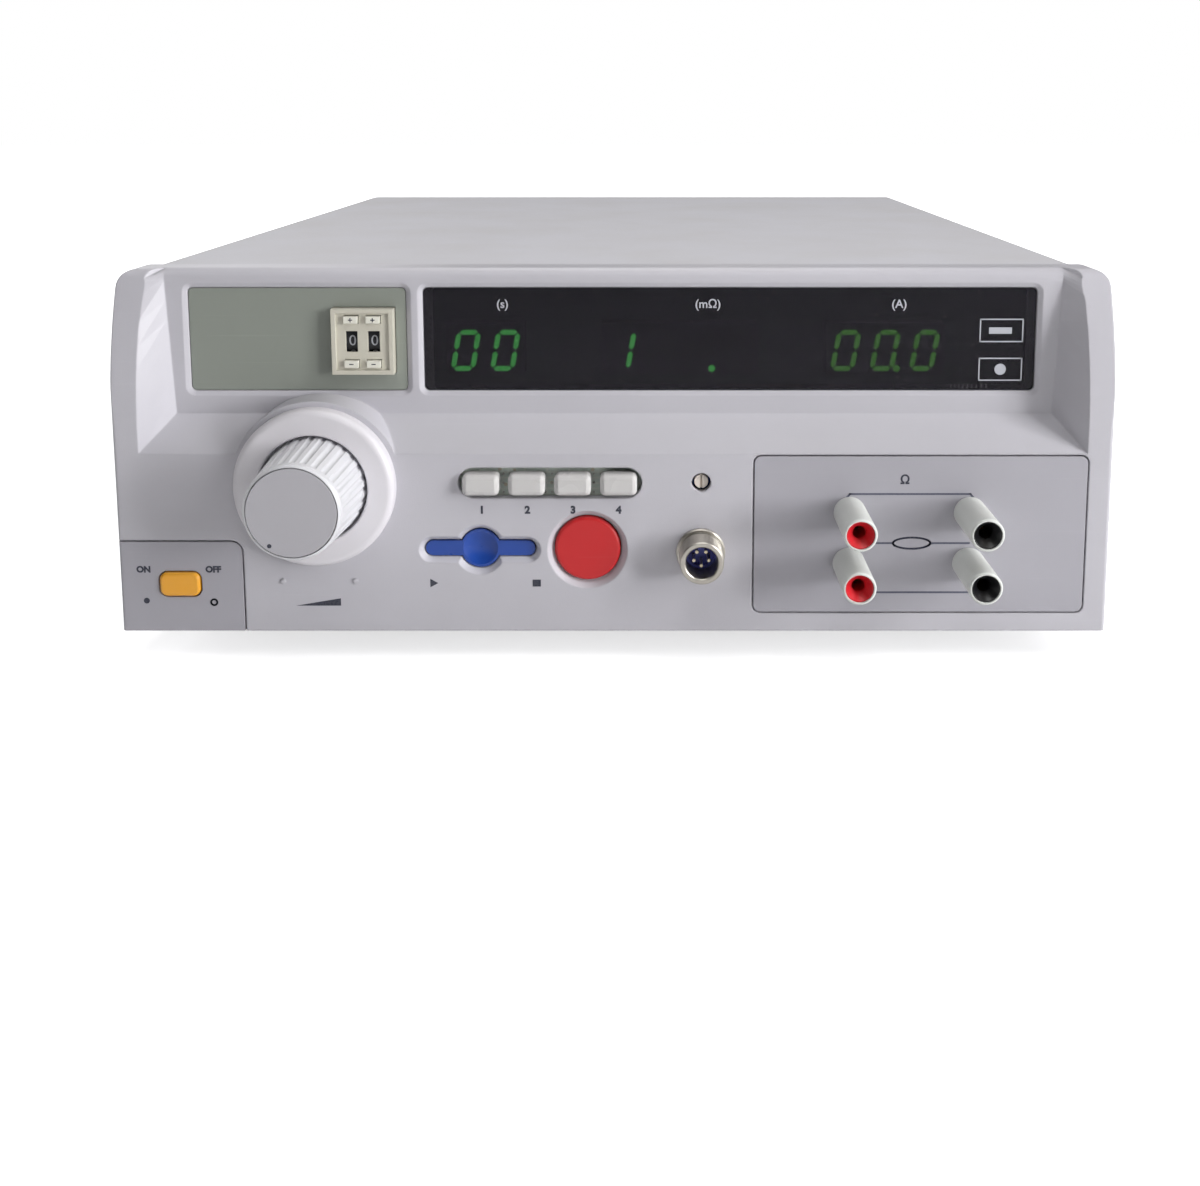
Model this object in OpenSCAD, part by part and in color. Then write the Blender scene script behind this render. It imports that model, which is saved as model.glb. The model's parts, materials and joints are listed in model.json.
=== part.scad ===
/* [Case] */
// Width of the front bezel, the widest piece
body_w = 360; // [350:1:420]
// Height of the case without its feet
body_h = 132; // [130:1:160]
// Depth from the face of the lower front panel to the rear edge of the cover
body_d = 380; // [370:1:460]
// Height of a foot
foot_h = 12; // [8:0.5:20]
// Radius of a foot where it meets the case
foot_r = 11; // [8:0.5:16]
// Distance of a foot's axis from the side of the case
foot_in = 34; // [28:1:60]
// Distance of the front feet behind the front panel
foot_front = 70; // [64:1:90]
// Distance of the rear feet in front of the cover's rear edge
foot_rear = 42; // [30:1:80]

/* [Front bezel] */
// Depth of the bezel's sides, up to the edge of the cover
bezel_d = 26; // [25:0.5:34]
// Thickness of the lower front panel
panel_t = 3.5; // [3:0.1:5]
// Thickness of the bezel's sides, top and bottom
shell_t = 3; // [2:0.1:4]
// Radius of the bezel's top corners, seen from the front
corner_r = 6; // [4:0.5:16]
// Radius of the upright front edges
edge_r = 1.5; // [1:0.5:6]
// Radius along the top front edge
brow_r = 4.5; // [2:0.5:7]
// Height of the upper part of the bezel's front, which leans back
lean_h = 60; // [42:1:62]
// How far the front has leaned back at the top
lean_back = 11.5; // [6:0.5:12]
// Depth of the lip that reaches under the cover
lip_d = 7; // [5:0.5:9]
// Thickness of that lip
lip_t = 2.2; // [1.6:0.1:3]

/* [Display recess] */
// Distance of the front edge of the recess's shelf below the top of the case
shelf_drop = 65.4; // [62:0.2:68]
// How much the shelf rises towards the back
shelf_rise = 11.6; // [8:0.2:14]
// Depth of the recess
recess_d = 13; // [12.5:0.5:15]
// Width of the pillar beside the recess
pillar_w = 9; // [7:0.5:12]
// Width of the recess's sloped side at the shelf
slope_low = 9.4; // [7:0.2:10]
// Width of the recess's sloped side at the top
slope_top = 6.8; // [5:0.2:10]
// Thickness of the recess's floor
floor_t = 3.5; // [3:0.1:4.5]

/* [Window row] */
// Distance of the lower edge of the name plate and the window below the top of the case
row_drop = 45.2; // [44:0.1:46.4]
// Height of the name plate and the window
row_h = 38; // [34:0.5:38]
// Corner radius of the name plate and the window
row_r = 1.6; // [1:0.1:3]
// How deep the plate and the window lie below the recess's floor
row_sink = 1; // [0.6:0.1:1.2]
// Width of the bevel round the name plate and the window
bevel_w = 1.8; // [1:0.1:2.4]
// Distance of the name plate from the left side of the case
name_in = 24.3; // [23.5:0.1:26]
// Width of the name plate
name_w = 79.4; // [76:0.2:81]
// Thickness of the name plate
name_t = 0.8; // [0.5:0.1:1.2]
// Gap between the name plate and the window
row_gap = 6.6; // [5:0.2:9]
// Distance of the window from the right side of the case
window_in = 25.2; // [23.5:0.1:30]
// Thickness of the window
window_t = 1.5; // [1:0.1:1.6]
// Width of the ledge that carries the window
window_ledge = 3; // [2:0.5:5]

/* [Digits] */
// Spacing of the digits
digit_pitch = 14.6; // [14:0.1:16]
// Height of a digit block
digit_block_h = 19; // [17:0.5:21]
// Middle of the digits above the window's lower edge
digit_z = 15.2; // [13.5:0.1:17]
// Middle of the left group from the window's left edge
digits_left_in = 22.2; // [19:0.1:26]
// Middle of the middle group, right of the case's middle
digits_mid_x = 24.5; // [20:0.5:30]
// Middle of the right group from the window's right edge
digits_right_in = 54.6; // [50:0.2:60]

/* [Current knob] */
// Distance of the knob's axis from the left side of the case
knob_in = 72.8; // [70:0.2:76]
// Distance of the knob's axis below the front edge of the recess's shelf
knob_drop = 11.6; // [9.6:0.2:13]
// Radius of the moulded boss behind the dial ring
boss_r = 31; // [30:0.2:31.4]
// Outer radius of the dial ring
ring_r = 29; // [26:0.2:29.6]
// How far the dial ring stands out
ring_t = 5; // [3:0.2:7]
// Radius of the grip at the panel
grip_r = 18.8; // [17:0.2:21]
// Radius of the grip at its face
grip_face_r = 16.7; // [14:0.1:16.9]
// How far the grip's face stands in front of the panel
grip_reach = 29; // [26:0.5:34]
// Number of flutes round the grip
flutes = 28; // [12:1:32]
// Radius of a flute
flute_r = 1.5; // [0.8:0.1:1.6]
// Depth of a flute
flute_d = 0.55; // [0.3:0.05:0.8]
// Radius of the cap in the grip's face
knob_cap_r = 15.4; // [12:0.1:15.6]
// Thickness of that cap
knob_cap_t = 1.6; // [1:0.1:2.5]
// Radius of the shaft
shaft_r = 4; // [3:0.1:5]

/* [Mode buttons] */
// Spacing of the mode buttons
mode_pitch = 16.5; // [15.5:0.1:17]
// Middle of the row, right of the case's middle
mode_x = -22.8; // [-24:0.2:-20]
// Distance of the row's middle below the front edge of the recess's shelf
mode_drop = 10.8; // [9.6:0.2:12.6]
// Width of a cap
mode_w = 13.3; // [11:0.1:13.8]
// Height of a cap
mode_h = 7.7; // [7:0.1:8.6]
// How far a cap stands out
mode_out = 3.6; // [3.4:0.1:6]
// Travel of a mode button
mode_travel = 3; // [2:0.1:3.4]
// Size of the slot beyond the caps on every side
mode_margin = 1.85; // [1.4:0.05:2]

/* [Start and reset buttons] */
// Middle of the start button, right of the case's middle
start_x = -48.5; // [-50:0.5:-46]
// Distance of the start and reset buttons below the row of mode buttons
start_drop = 25; // [23.8:0.2:26.8]
// Length of the start button's bar
start_bar_w = 40; // [34:0.5:42]
// Height of that bar
start_bar_h = 5.6; // [5:0.1:7]
// Radius of the disc in its middle
start_disc_r = 7.2; // [5.5:0.1:8]
// Width of the flat rim round the hollow in that disc
disc_rim = 0.9; // [0.5:0.1:1.5]
// Depth of that hollow
hollow_d = 1.8; // [0.6:0.1:2.2]
// How deep the start button's face lies behind the panel's face
start_sink = 1.8; // [1:0.1:2.4]
// Width of the chamfer round the start button's opening
seat_w = 1.9; // [0.8:0.1:2.2]
// Depth of that chamfer
seat_d = 2.4; // [1:0.1:2.6]
// Middle of the reset button, right of the case's middle
reset_x = -9.4; // [-10:0.2:-8]
// Radius of the reset button
reset_r = 12; // [10:0.25:13]
// How deep the reset button's face lies behind the panel's face
reset_sink = 1; // [0.4:0.1:1.6]
// Radius of the dish round the reset button
dish_r = 14.6; // [14:0.1:16]
// Depth of that dish
dish_d = 2.6; // [1:0.1:2.6]
// Travel of the start and reset buttons
push_travel = 3; // [2:0.1:3.2]

/* [Power switch] */
// Width of the plate in the lower left corner
corner_plate_w = 45; // [42:0.5:46]
// Height of that plate
corner_plate_h = 33.8; // [32:0.2:35]
// Corner radius of that plate
corner_plate_r = 4; // [2:0.5:6]
// Distance of the power button from the left side of the case
power_in = 22.1; // [20:0.1:24]
// Height of the power button
power_z = 17.9; // [16:0.1:19]
// Width of the power button
power_w = 14.6; // [14:0.2:17]
// Height of the power button
power_h = 8.8; // [8:0.1:10.4]
// How far the pressed power button stands out
power_out = 1; // [0.5:0.1:1.5]
// Travel of the power button
power_travel = 3; // [2:0.1:4]

/* [Signal connector and trimmer] */
// Distance of the connector from the middle between the reset button's dish and the terminal plate
conn_shift = 3.6; // [2.2:0.1:5]
// Distance of the connector below the start and reset buttons
conn_drop = 0.8; // [-1:0.2:1.8]
// Outer radius of the connector's barrel
conn_r = 7.8; // [7.6:0.1:9]
// Inner radius of that barrel
conn_bore_r = 5.8; // [5.6:0.1:6.4]
// How far the barrel stands out
conn_out = 11; // [9.5:0.5:14]
// Radius of the connector's flange
conn_flange_r = 8.9; // [8.6:0.1:10.4]
// Number of contact pins round the connector's middle
conn_pins = 5; // [3:1:6]
// Distance of the trimmer to the right of the connector
trim_dx = 0.1; // [-2:0.1:2]
// Distance of the trimmer above the middle of the mode buttons
trim_dz = 0.2; // [-1.8:0.2:2]
// Radius of the hole over the trimmer
trim_hole_r = 3.5; // [3:0.1:4]
// Radius of the trimmer's shaft
trim_r = 2.5; // [2:0.1:2.8]

/* [Test terminals] */
// Distance of the terminal plate from the right side of the case
term_plate_in = 9; // [8:0.5:11]
// Width of the terminal plate
term_plate_w = 120; // [114:1:122]
// Distance of the terminal plate's upper edge below the front edge of the recess's shelf
term_plate_drop = 0.9; // [0.7:0.1:4]
// Lower edge of the terminal plate
term_plate_z = 7.3; // [6:0.1:7.4]
// Corner radius of the terminal plate
term_plate_r = 2.5; // [1:0.1:5]
// Distance of the right terminals from the right edge of their plate
term_in = 42; // [38:0.5:46]
// Spacing of the terminals from left to right
term_dx = 43.5; // [40:0.5:46]
// Spacing of the terminals from top to bottom
term_dz = 19.05; // [18:0.05:20]
// Height of the lower terminals above their plate's lower edge
term_low = 18.5; // [16:0.1:20]
// Outer radius of a terminal's sleeve
sleeve_r = 5.85; // [5.6:0.05:6.5]
// How far a sleeve stands out
sleeve_out = 23; // [20:0.5:28]
// Radius of the coloured liner in a sleeve
liner_r = 4.9; // [4.4:0.05:5]
// Depth of the funnel in the liner's mouth
funnel_d = 3; // [1.5:0.5:4]
// Radius of the brass contact
contact_r = 3; // [2.8:0.05:3.3]
// Radius of the socket in the contact
socket_r = 2; // [1.9:0.05:2.1]
// Depth of the socket in the contact
socket_d = 20; // [16:0.5:24]

/* [Pushwheel switch] */
// Distance of the switch's middle from the name plate's right edge
wheel_in = 15.4; // [14.5:0.1:17]
// Height of the switch's middle above the name plate's lower edge
wheel_up = 18.6; // [17.3:0.1:20]
// Width of the switch's housing
wheel_w = 22.6; // [21.6:0.1:24]
// Height of the switch's housing
wheel_h = 24.3; // [23.6:0.1:26]
// How far the housing stands out of the name plate
wheel_out = 3.5; // [2.5:0.1:5]
// Width of the raised rim round the switch's face
wheel_rim = 1.6; // [1:0.1:2]
// Height of that rim
wheel_rim_t = 0.8; // [0.4:0.1:1]
// Depth of the housing
wheel_d = 26; // [24.5:0.5:32]
// Spacing of the two digits
wheel_pitch = 8.1; // [7.6:0.1:8.6]
// Radius of a number drum
drum_r = 9.2; // [8.4:0.1:9.4]
// Radius of the drums' axle
axle_r = 1.5; // [1.2:0.1:2]
// Width of a key
key_w = 5; // [4:0.1:5.4]
// Height of a key
key_h = 2.6; // [2:0.1:2.8]
// Distance of a key from the switch's middle height
key_dz = 8.2; // [7.9:0.1:8.3]
// Travel of a key
key_travel = 1.2; // [0.8:0.1:1.3]

/* [Boards] */
// Thickness of a circuit board
board_t = 1.6; // [1.2:0.1:2]
// Distance of the control board behind the panel's face
board_y = 11; // [10.5:0.5:12]
// Distance of the display board behind the recess's floor
display_gap = 6.5; // [5.5:0.5:7.5]

/* [Cover and chassis] */
// Step from the bezel's side in to the cover
cover_step = 3; // [2:0.2:4]
// Thickness of the cover
cover_t = 1.2; // [0.8:0.1:1.6]
// Radius of the cover's bends
cover_r = 3; // [2.4:0.2:5]
// How far the cover's top lies below the bezel's top
cover_drop = 1.6; // [1:0.1:3]
// Thickness of the chassis
chassis_t = 1.5; // [1.2:0.1:2]
// Height of the chassis's side flanges
flange_h = 24; // [20:1:30]
// Number of vent slots in a row
vents = 16; // [6:1:20]
// Width of a vent slot
vent_w = 3; // [2:0.1:4]
// Height of a vent slot
vent_h = 22; // [14:1:26]
// Spacing of the vent slots
vent_pitch = 8; // [7:0.5:9]
// Height of the middle of the lower row of vent slots
vent_z = 50; // [42:1:56]
// Gap between the two rows of vent slots
vent_row_gap = 8; // [5:1:14]
// Distance of the first cover screw behind the front panel
cover_screw_y = 76; // [50:1:90]
// Spacing of the cover screws
cover_screw_pitch = 114; // [90:1:125]

/* [Rear panel] */
// Thickness of the rear panel
rear_t = 2; // [1.5:0.1:3]
// How far the rear panel lies inside the cover's edge
rear_sink = 2; // [1:0.5:5]
// Size of the square fan
fan_size = 80; // [70:1:84]
// Depth of the fan
fan_t = 25; // [20:1:30]
// Distance of the fan's axis from the left side of the case
fan_in = 86; // [80:1:100]
// Height of the fan's axis
fan_z = 68; // [66:0.5:72]
// Distance of the mains inlet from the right side of the case
inlet_in = 52; // [46:1:60]
// Height of the mains inlet
inlet_z = 36; // [32:1:44]
// Distance of the fuse holder from the mains inlet
fuse_dx = 44; // [38:1:50]
// Distance of the ground post from the mains inlet
post_dx = 76; // [70:1:84]
// How far the ground post stands out
post_out = 16; // [14:0.5:22]

/* [Inside] */
// Distance of the variable transformer's coil above the chassis
coil_gap = 3.5; // [3:0.5:9]
// Radius of the hole through that coil
coil_hole_r = 22; // [18:0.5:26]
// Length of that coil
coil_l = 46; // [36:1:54]
// Width of the output transformer's core
core_w = 120; // [100:1:126]
// Height of that core
core_h = 100; // [86:1:106]
// Thickness of that core's stack
core_t = 60; // [46:1:70]
// Width of the main board
main_w = 130; // [110:1:140]
// Length of the main board
main_l = 150; // [120:1:160]
// Height of the main board's standoffs
standoff_h = 8; // [5:0.5:12]
// Distance of the main board from the left side of the case
main_in = 22; // [16:1:30]
// Distance of the main board behind the front panel
main_y = 185; // [160:1:190]
// Distance of the output transformer's core from the right side of the case
core_in = 30; // [24:1:36]
// Distance of that core behind the front panel
core_y = 230; // [200:1:250]

/* [Clearances] */
// Gap round a piece that sits in an opening or slides in it
gap = 0.3; // [0.2:0.05:0.35]
// Width of the groove round the inset plates
groove = 0.6; // [0.4:0.1:0.9]
// Radial gap of a running or push fit
fit = 0.05; // [0.02:0.01:0.1]

/* [Hidden] */
$fn = 48;

// Overlap of joined shapes, overshoot of cuts and a hairline that keeps points apart
eps = 0.5;
over = 1;
hair = 0.01;

// The four mode buttons are nodes of their own
modes = 4;

// Heights on the front: the upper rows hang from the top edge, the buttons from the shelf
lean_start = body_h - lean_h;
shelf_z = body_h - shelf_drop;
row_z = body_h - row_drop;
wheel_z = row_z + wheel_up;
mode_z = shelf_z - mode_drop;
start_z = mode_z - start_drop;
conn_z = start_z - conn_drop;
trim_z = mode_z + trim_dz;
term_plate_h = shelf_z - term_plate_drop - term_plate_z;
knob_z = shelf_z - knob_drop;
coil_r = knob_z - chassis_t - coil_gap;

// Places across the front
half_w = body_w / 2;
knob_x = knob_in - half_w;
power_x = power_in - half_w;
name_x0 = name_in - half_w;
name_x1 = name_x0 + name_w;
window_x0 = name_x1 + row_gap;
window_x1 = half_w - window_in;
window_w = window_x1 - window_x0;
window_x = (window_x0 + window_x1) / 2;
wheel_x = name_x1 - wheel_in;
row_mid = row_z + row_h / 2;
term_x1 = half_w - term_plate_in;
term_plate_x = term_x1 - term_plate_w / 2;
term_xs = [term_x1 - term_in - term_dx, term_x1 - term_in];
term_zs = [term_plate_z + term_low, term_plate_z + term_low + term_dz];
digit_mid_z = row_z + digit_z;
conn_x = (reset_x + dish_r + term_x1 - term_plate_w) / 2 + conn_shift;
trim_x = conn_x + trim_dx;

// Places in depth, behind the face of the lower panel
row_y = recess_d + row_sink;
floor_back = recess_d + floor_t;
display_y = floor_back + display_gap;
wheel_y = row_y - wheel_out;
switch_y = board_y + board_t;
rear_y = body_d - rear_sink - rear_t;
rear_face = body_d - rear_sink;
front_reach = max(grip_reach, sleeve_out);
rear_reach = max(body_d, rear_face + post_out);
front_y = (front_reach - rear_reach) / 2;

// Sizes of the cover and what lies under it
cover_w = body_w - 2 * cover_step;
cover_top = body_h - cover_drop;
cover_y = bezel_d + gap;
inner_w = cover_w - 2 * cover_t;
inner_top = cover_top - cover_t;
chassis_w = inner_w - 2 * gap;
lip_w = inner_w - 2 * gap;
lip_z0 = chassis_t + gap;
lip_z1 = inner_top - gap;
chassis_y0 = bezel_d + gap;
chassis_y1 = rear_y - gap;
rear_w = chassis_w - 2 * chassis_t - 2 * gap;
rear_z1 = inner_top - gap;

// Lean of the bezel's front: an arc that starts upright
lean_rise = body_h - lean_start;
lean_r = (lean_rise * lean_rise + lean_back * lean_back) / (2 * lean_back);
function lean_at(z) = z <= lean_start ? 0
    : lean_r - sqrt(lean_r * lean_r - (min(z, body_h) - lean_start) * (min(z, body_h) - lean_start));

// Axis of the rounding along the top edge, and the lean where it starts
brow_z = body_h - brow_r;
brow_a = asin((brow_z - lean_start) / (lean_r - brow_r));
brow_y = lean_r - (lean_r - brow_r) * cos(brow_a);

// Points of an arc, end points included
function arc(x, y, r, a0, a1, n = 6) =
    [for (i = [0:n]) let (a = a0 + (a1 - a0) * i / n) [x + r * cos(a), y + r * sin(a)]];

// Rounded rectangle round the origin
function round_rect(w, h, r, n = 5) = concat(
    arc(w / 2 - r, h / 2 - r, r, 0, 90, n),
    arc(r - w / 2, h / 2 - r, r, 90, 180, n),
    arc(r - w / 2, r - h / 2, r, 180, 270, n),
    arc(w / 2 - r, r - h / 2, r, 270, 360, n)
);

// Everything is drawn from the middle of the panel's lower edge: x right, y into the case, z up
module placed() translate([0, front_y, foot_h]) children();

// Children stand on an upright plane and rise towards the viewer
module facing(x, z, y = 0) translate([x, y, z]) rotate([90, 0, 0]) children();

// Children are an outline seen from the front, made into a plate from y0 to y1
module plate(y0, y1) translate([0, y1, 0]) rotate([90, 0, 0]) linear_extrude(y1 - y0) children();

// Children are an outline of depth and height, made as wide as w
module across(w) translate([-w / 2, 0, 0]) rotate([90, 0, 90]) linear_extrude(w) children();

// Upright round rod or hole from y0 to y1
module bar_y(x, z, r, y0, y1) translate([x, y0, z]) rotate([-90, 0, 0]) cylinder(r = r, h = y1 - y0);

// Outline of one piece in the row of plate and window
module row_outline(x0, x1, grow = 0)
    translate([(x0 + x1) / 2, row_mid])
        polygon(round_rect(x1 - x0 + 2 * grow, row_h + 2 * grow, row_r + grow));

// The bezel's outer shape: a leaning front, rounded corners and rounded upright edges
module bezel_outer() {
    side = concat(
        [[bezel_d, 0], [0, 0]],
        arc(lean_r, lean_start, lean_r, 180, 180 - brow_a, 12),
        arc(brow_y, brow_z, brow_r, 180 - brow_a, 90, 6),
        [[bezel_d, body_h]]
    );
    front = concat(
        [[-half_w, 0], [half_w, 0]],
        arc(half_w - corner_r, body_h - corner_r, corner_r, 0, 90, 8),
        arc(corner_r - half_w, body_h - corner_r, corner_r, 90, 180, 8)
    );
    plan = concat(
        arc(edge_r - half_w, edge_r, edge_r, 180, 270, 5),
        arc(half_w - edge_r, edge_r, edge_r, 270, 360, 5),
        [[half_w, bezel_d + over], [-half_w, bezel_d + over]]
    );
    intersection() {
        across(body_w + 2 * over) polygon(side);
        plate(-over, bezel_d + over) polygon(front);
        translate([0, 0, -over]) linear_extrude(body_h + 2 * over) polygon(plan);
    }
}

// Cut for the display recess: rows parallel to the shelf, lofted up the leaning pillars.
// The rows bend forward at the top, which rounds the edge there.
module recess_cut() {
    shelf = shelf_rise / recess_d;
    front_x = half_w - pillar_w;
    ahead = 5;
    kink = 0.4;
    flat_h = body_h - shelf_z - shelf_rise - brow_r;
    flat_rows = 7;
    row_hs = concat(
        [for (i = [0:flat_rows]) flat_h * i / flat_rows],
        [for (a = [15:15:90]) flat_h + brow_r * sin(a)],
        [flat_h + brow_r + ahead]
    );
    last = len(row_hs) - 1;
    points = [for (h = row_hs)
        let (
            part = h / (flat_h + brow_r),
            floor_x = front_x - slope_low + (slope_low - slope_top) * part,
            round_h = min(max(h - flat_h, 0), brow_r),
            floor_y = recess_d + brow_r - sqrt(brow_r * brow_r - round_h * round_h),
            lean = lean_at(shelf_z + h + shelf * lean_at(shelf_z + h)) - kink,
            plan = [[-front_x, -ahead], [-front_x, lean], [-floor_x, floor_y],
                    [floor_x, floor_y], [front_x, lean], [front_x, -ahead]]
        )
        for (p = plan) [p[0], p[1], shelf_z + h + shelf * min(p[1], recess_d)]
    ];
    sides = [for (i = [0:last - 1]) for (j = [0:5])
        let (a = 6 * i + j, b = 6 * i + (j + 1) % 6)
        each [[a, b + 6, a + 6], [a, b, b + 6]]
    ];
    bottom = [[0, 5, 1], [1, 5, 4], [1, 4, 2], [2, 4, 3]];
    top = [for (t = bottom) [for (k = [2:-1:0]) t[k] + 6 * last]];
    polyhedron(points = points, faces = concat(sides, bottom, top));
}

// Room behind the front wall and below and behind the recess's floor
module bezel_cavity() {
    slope = shelf_rise / recess_d;
    roof = shelf_z - floor_t * sqrt(1 + slope * slope);
    flange_y = bezel_d - shell_t;
    lower = [
        [panel_t, shell_t], [panel_t, roof + slope * panel_t], [floor_back, roof + slope * floor_back],
        [floor_back, body_h - shell_t], [flange_y, body_h - shell_t], [flange_y, shell_t]
    ];
    across(body_w - 2 * shell_t) polygon(lower);
    plate(flange_y - over, bezel_d + lip_d + over) lip_outline(lip_t);
}

// Outline of the lip under the cover, reduced by a wall
module lip_outline(wall = 0) {
    r = max(cover_r - cover_t - wall, 0.5);
    translate([0, (lip_z0 + lip_z1) / 2])
        polygon(round_rect(lip_w - 2 * wall, lip_z1 - lip_z0 - 2 * wall, r, 3));
}

// Cap of a mode button, seen from the front
mode_corner_r = 2;
mode_xs = [for (i = [0:modes - 1]) mode_x + (i - (modes - 1) / 2) * mode_pitch];
module mode_outline(grow = 0)
    polygon(round_rect(mode_w + 2 * grow, mode_h + 2 * grow, mode_corner_r + grow));

// Slot behind which the mode buttons stand in a row
slot_w = (modes - 1) * mode_pitch + mode_w + 2 * mode_margin;
slot_h = mode_h + 2 * mode_margin;
module mode_slot() facing(mode_x, mode_z, panel_t + over)
    linear_extrude(panel_t + 2 * over) polygon(round_rect(slot_w, slot_h, slot_h / 2 - hair, 8));

// Bevelled opening for the name plate or the window, from behind the piece's face to the recess's floor
module row_bevel(x0, x1) {
    behind = 0.3;
    slope = bevel_w / row_sink;
    low = gap - slope * behind;
    high = gap + slope * (row_sink + over);
    h = behind + row_sink + over;
    w = x1 - x0;
    module trapezoid(side) polygon([
        [-side / 2 - low, 0], [side / 2 + low, 0], [side / 2 + high, h], [-side / 2 - high, h]
    ]);
    facing((x0 + x1) / 2, row_mid, row_y + behind) {
        rotate([90, 0, 0]) translate([0, 0, row_r - row_h / 2]) linear_extrude(row_h - 2 * row_r) trapezoid(w);
        rotate([90, 0, 90]) translate([0, 0, row_r - w / 2]) linear_extrude(w - 2 * row_r) trapezoid(row_h);
        for (i = [-1, 1]) for (j = [-1, 1])
            translate([i * (w / 2 - row_r), j * (row_h / 2 - row_r), 0])
                cylinder(r1 = row_r + low, r2 = row_r + high, h = h);
    }
}

// Bar and disc of the start button, seen from the front
module start_outline(grow = 0) {
    bar = [start_bar_w + 2 * grow, start_bar_h + 2 * grow];
    polygon(round_rect(bar[0], bar[1], bar[1] / 2 - hair, 8));
    circle(r = start_disc_r + grow);
}

// Chamfered seat round the start button's opening
module start_seat() {
    end_x = (start_bar_w - start_bar_h) / 2;
    flare = seat_w * (1 + over / seat_d);
    module cone(r) cylinder(r1 = r, r2 = r + flare, h = seat_d + over, $fn = 32);
    translate([0, 0, -seat_d]) {
        hull() for (s = [-1, 1]) translate([s * end_x, 0, 0]) cone(start_bar_h / 2 + gap);
        cone(start_disc_r + gap);
    }
}

// Flare of the dish round the reset button for each unit of depth
dish_slope = (dish_r - reset_r - 2 * gap) / dish_d;

// Corner plate round the power button, seen from the front
inset_t = 2;
module corner_plate_outline(grow = 0) {
    x0 = -half_w - over;
    x1 = corner_plate_w - half_w + grow;
    z1 = corner_plate_h + grow;
    r = corner_plate_r + grow;
    polygon(concat([[x0, -over], [x1, -over]], arc(x1 - r, z1 - r, r, 0, 90), [[x0, z1]]));
}

// Opening for the power button, cut from the panel's face to a depth
power_corner_r = 2.6;
module power_outline(grow = 0)
    polygon(round_rect(power_w + 2 * grow, power_h + 2 * grow, power_corner_r + grow));
module power_hole(grow, depth)
    facing(power_x, power_z, depth) linear_extrude(depth + over) power_outline(grow);

// Terminal plate, seen from the front
module term_plate_outline(grow = 0)
    translate([term_plate_x, term_plate_z + term_plate_h / 2])
        polygon(round_rect(term_plate_w + 2 * grow, term_plate_h + 2 * grow, term_plate_r + grow));

// Control board behind the buttons, and the bosses behind the bezel that hold both boards
control_left = 15;
control_right = 14;
control_below = 11;
control_above = 7;
control_x0 = start_x - control_left;
control_x1 = conn_x + control_right;
control_z0 = start_z - control_below;
control_z1 = mode_z + control_above;
boss_pin_r = 3;
boss_in = 3.5;
boss_drop = 12;
display_side = 7;
boss_low = 5;
boss_high = 6;
control_bosses = [for (x = [control_x0 + boss_in, control_x1 - boss_in])
    for (z = [control_z0 + boss_in, mode_z - boss_drop]) [x, z]];
display_bosses = [for (x = [window_x0 - display_side + boss_in, window_x1 + display_side - boss_in])
    for (z = [row_z + boss_low, row_z + row_h - boss_high]) [x, z]];

// Two moulded marks under the knob, at the ends of its turn
pip_x = 13.2;
pip_z = 36;
pip_r = 0.9;
pip_out = 0.4;

module front_bezel() placed() color([0.71, 0.71, 0.735]) {
    difference() {
        union() {
            difference() {
                bezel_outer();
                recess_cut();
                bezel_cavity();
            }
            difference() {
                plate(bezel_d - shell_t, bezel_d + lip_d) lip_outline();
                plate(bezel_d - shell_t - over, bezel_d + lip_d + over) lip_outline(lip_t);
            }
            difference() {
                bar_y(knob_x, knob_z, boss_r, 0, floor_back);
                bar_y(knob_x, knob_z, boss_r - shell_t, panel_t, floor_back + over);
            }
            for (b = control_bosses) bar_y(b[0], b[1], boss_pin_r, panel_t - eps, board_y);
            for (b = display_bosses) bar_y(b[0], b[1], boss_pin_r, floor_back - eps, display_y);
            for (s = [-1, 1]) bar_y(knob_x + s * pip_x, knob_z - pip_z, pip_r, -pip_out, eps);
        }
        bar_y(knob_x, knob_z, shaft_r + over, -over, floor_back + over);
        plate(-over, row_y + name_t) row_outline(name_x0, name_x1, gap);
        row_bevel(name_x0, name_x1);
        row_bevel(window_x0, window_x1);
        plate(-over, floor_back + over) wheel_outline(gap);
        plate(-over, row_y + window_t) row_outline(window_x0, window_x1, gap);
        plate(-over, floor_back + over) row_outline(window_x0 + window_ledge, window_x1 - window_ledge);
        mode_slot();
        plate(-over, panel_t + over) translate([start_x, start_z]) start_outline(gap);
        facing(start_x, start_z) start_seat();
        bar_y(reset_x, start_z, reset_r + gap, -over, panel_t + over);
        facing(reset_x, start_z, dish_d)
            cylinder(r1 = reset_r + 2 * gap, r2 = dish_r + dish_slope * over, h = dish_d + over);
        bar_y(conn_x, conn_z, conn_tail_r + gap, -over, panel_t + over);
        bar_y(trim_x, trim_z, trim_hole_r, -over, panel_t + over);
        plate(-over, inset_t) corner_plate_outline(groove);
        power_hole(gap, panel_t + over);
        plate(-over, inset_t) term_plate_outline(groove);
        for (x = term_xs) for (z = term_zs) bar_y(x, z, neck_r + gap, -over, panel_t + over);
    }
}
module display_window() placed() color([0.12, 0.12, 0.14])
    plate(row_y, row_y + window_t) row_outline(window_x0, window_x1);

module name_plate() placed() color([0.50, 0.53, 0.49])
    difference() {
        plate(row_y, row_y + name_t) row_outline(name_x0, name_x1);
        plate(-over, floor_back) wheel_outline(gap);
    }

module power_plate() placed() color([0.66, 0.66, 0.69])
    difference() {
        intersection() {
            bezel_outer();
            plate(-over, inset_t) corner_plate_outline();
        }
        power_hole(groove, panel_t);
    }

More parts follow.
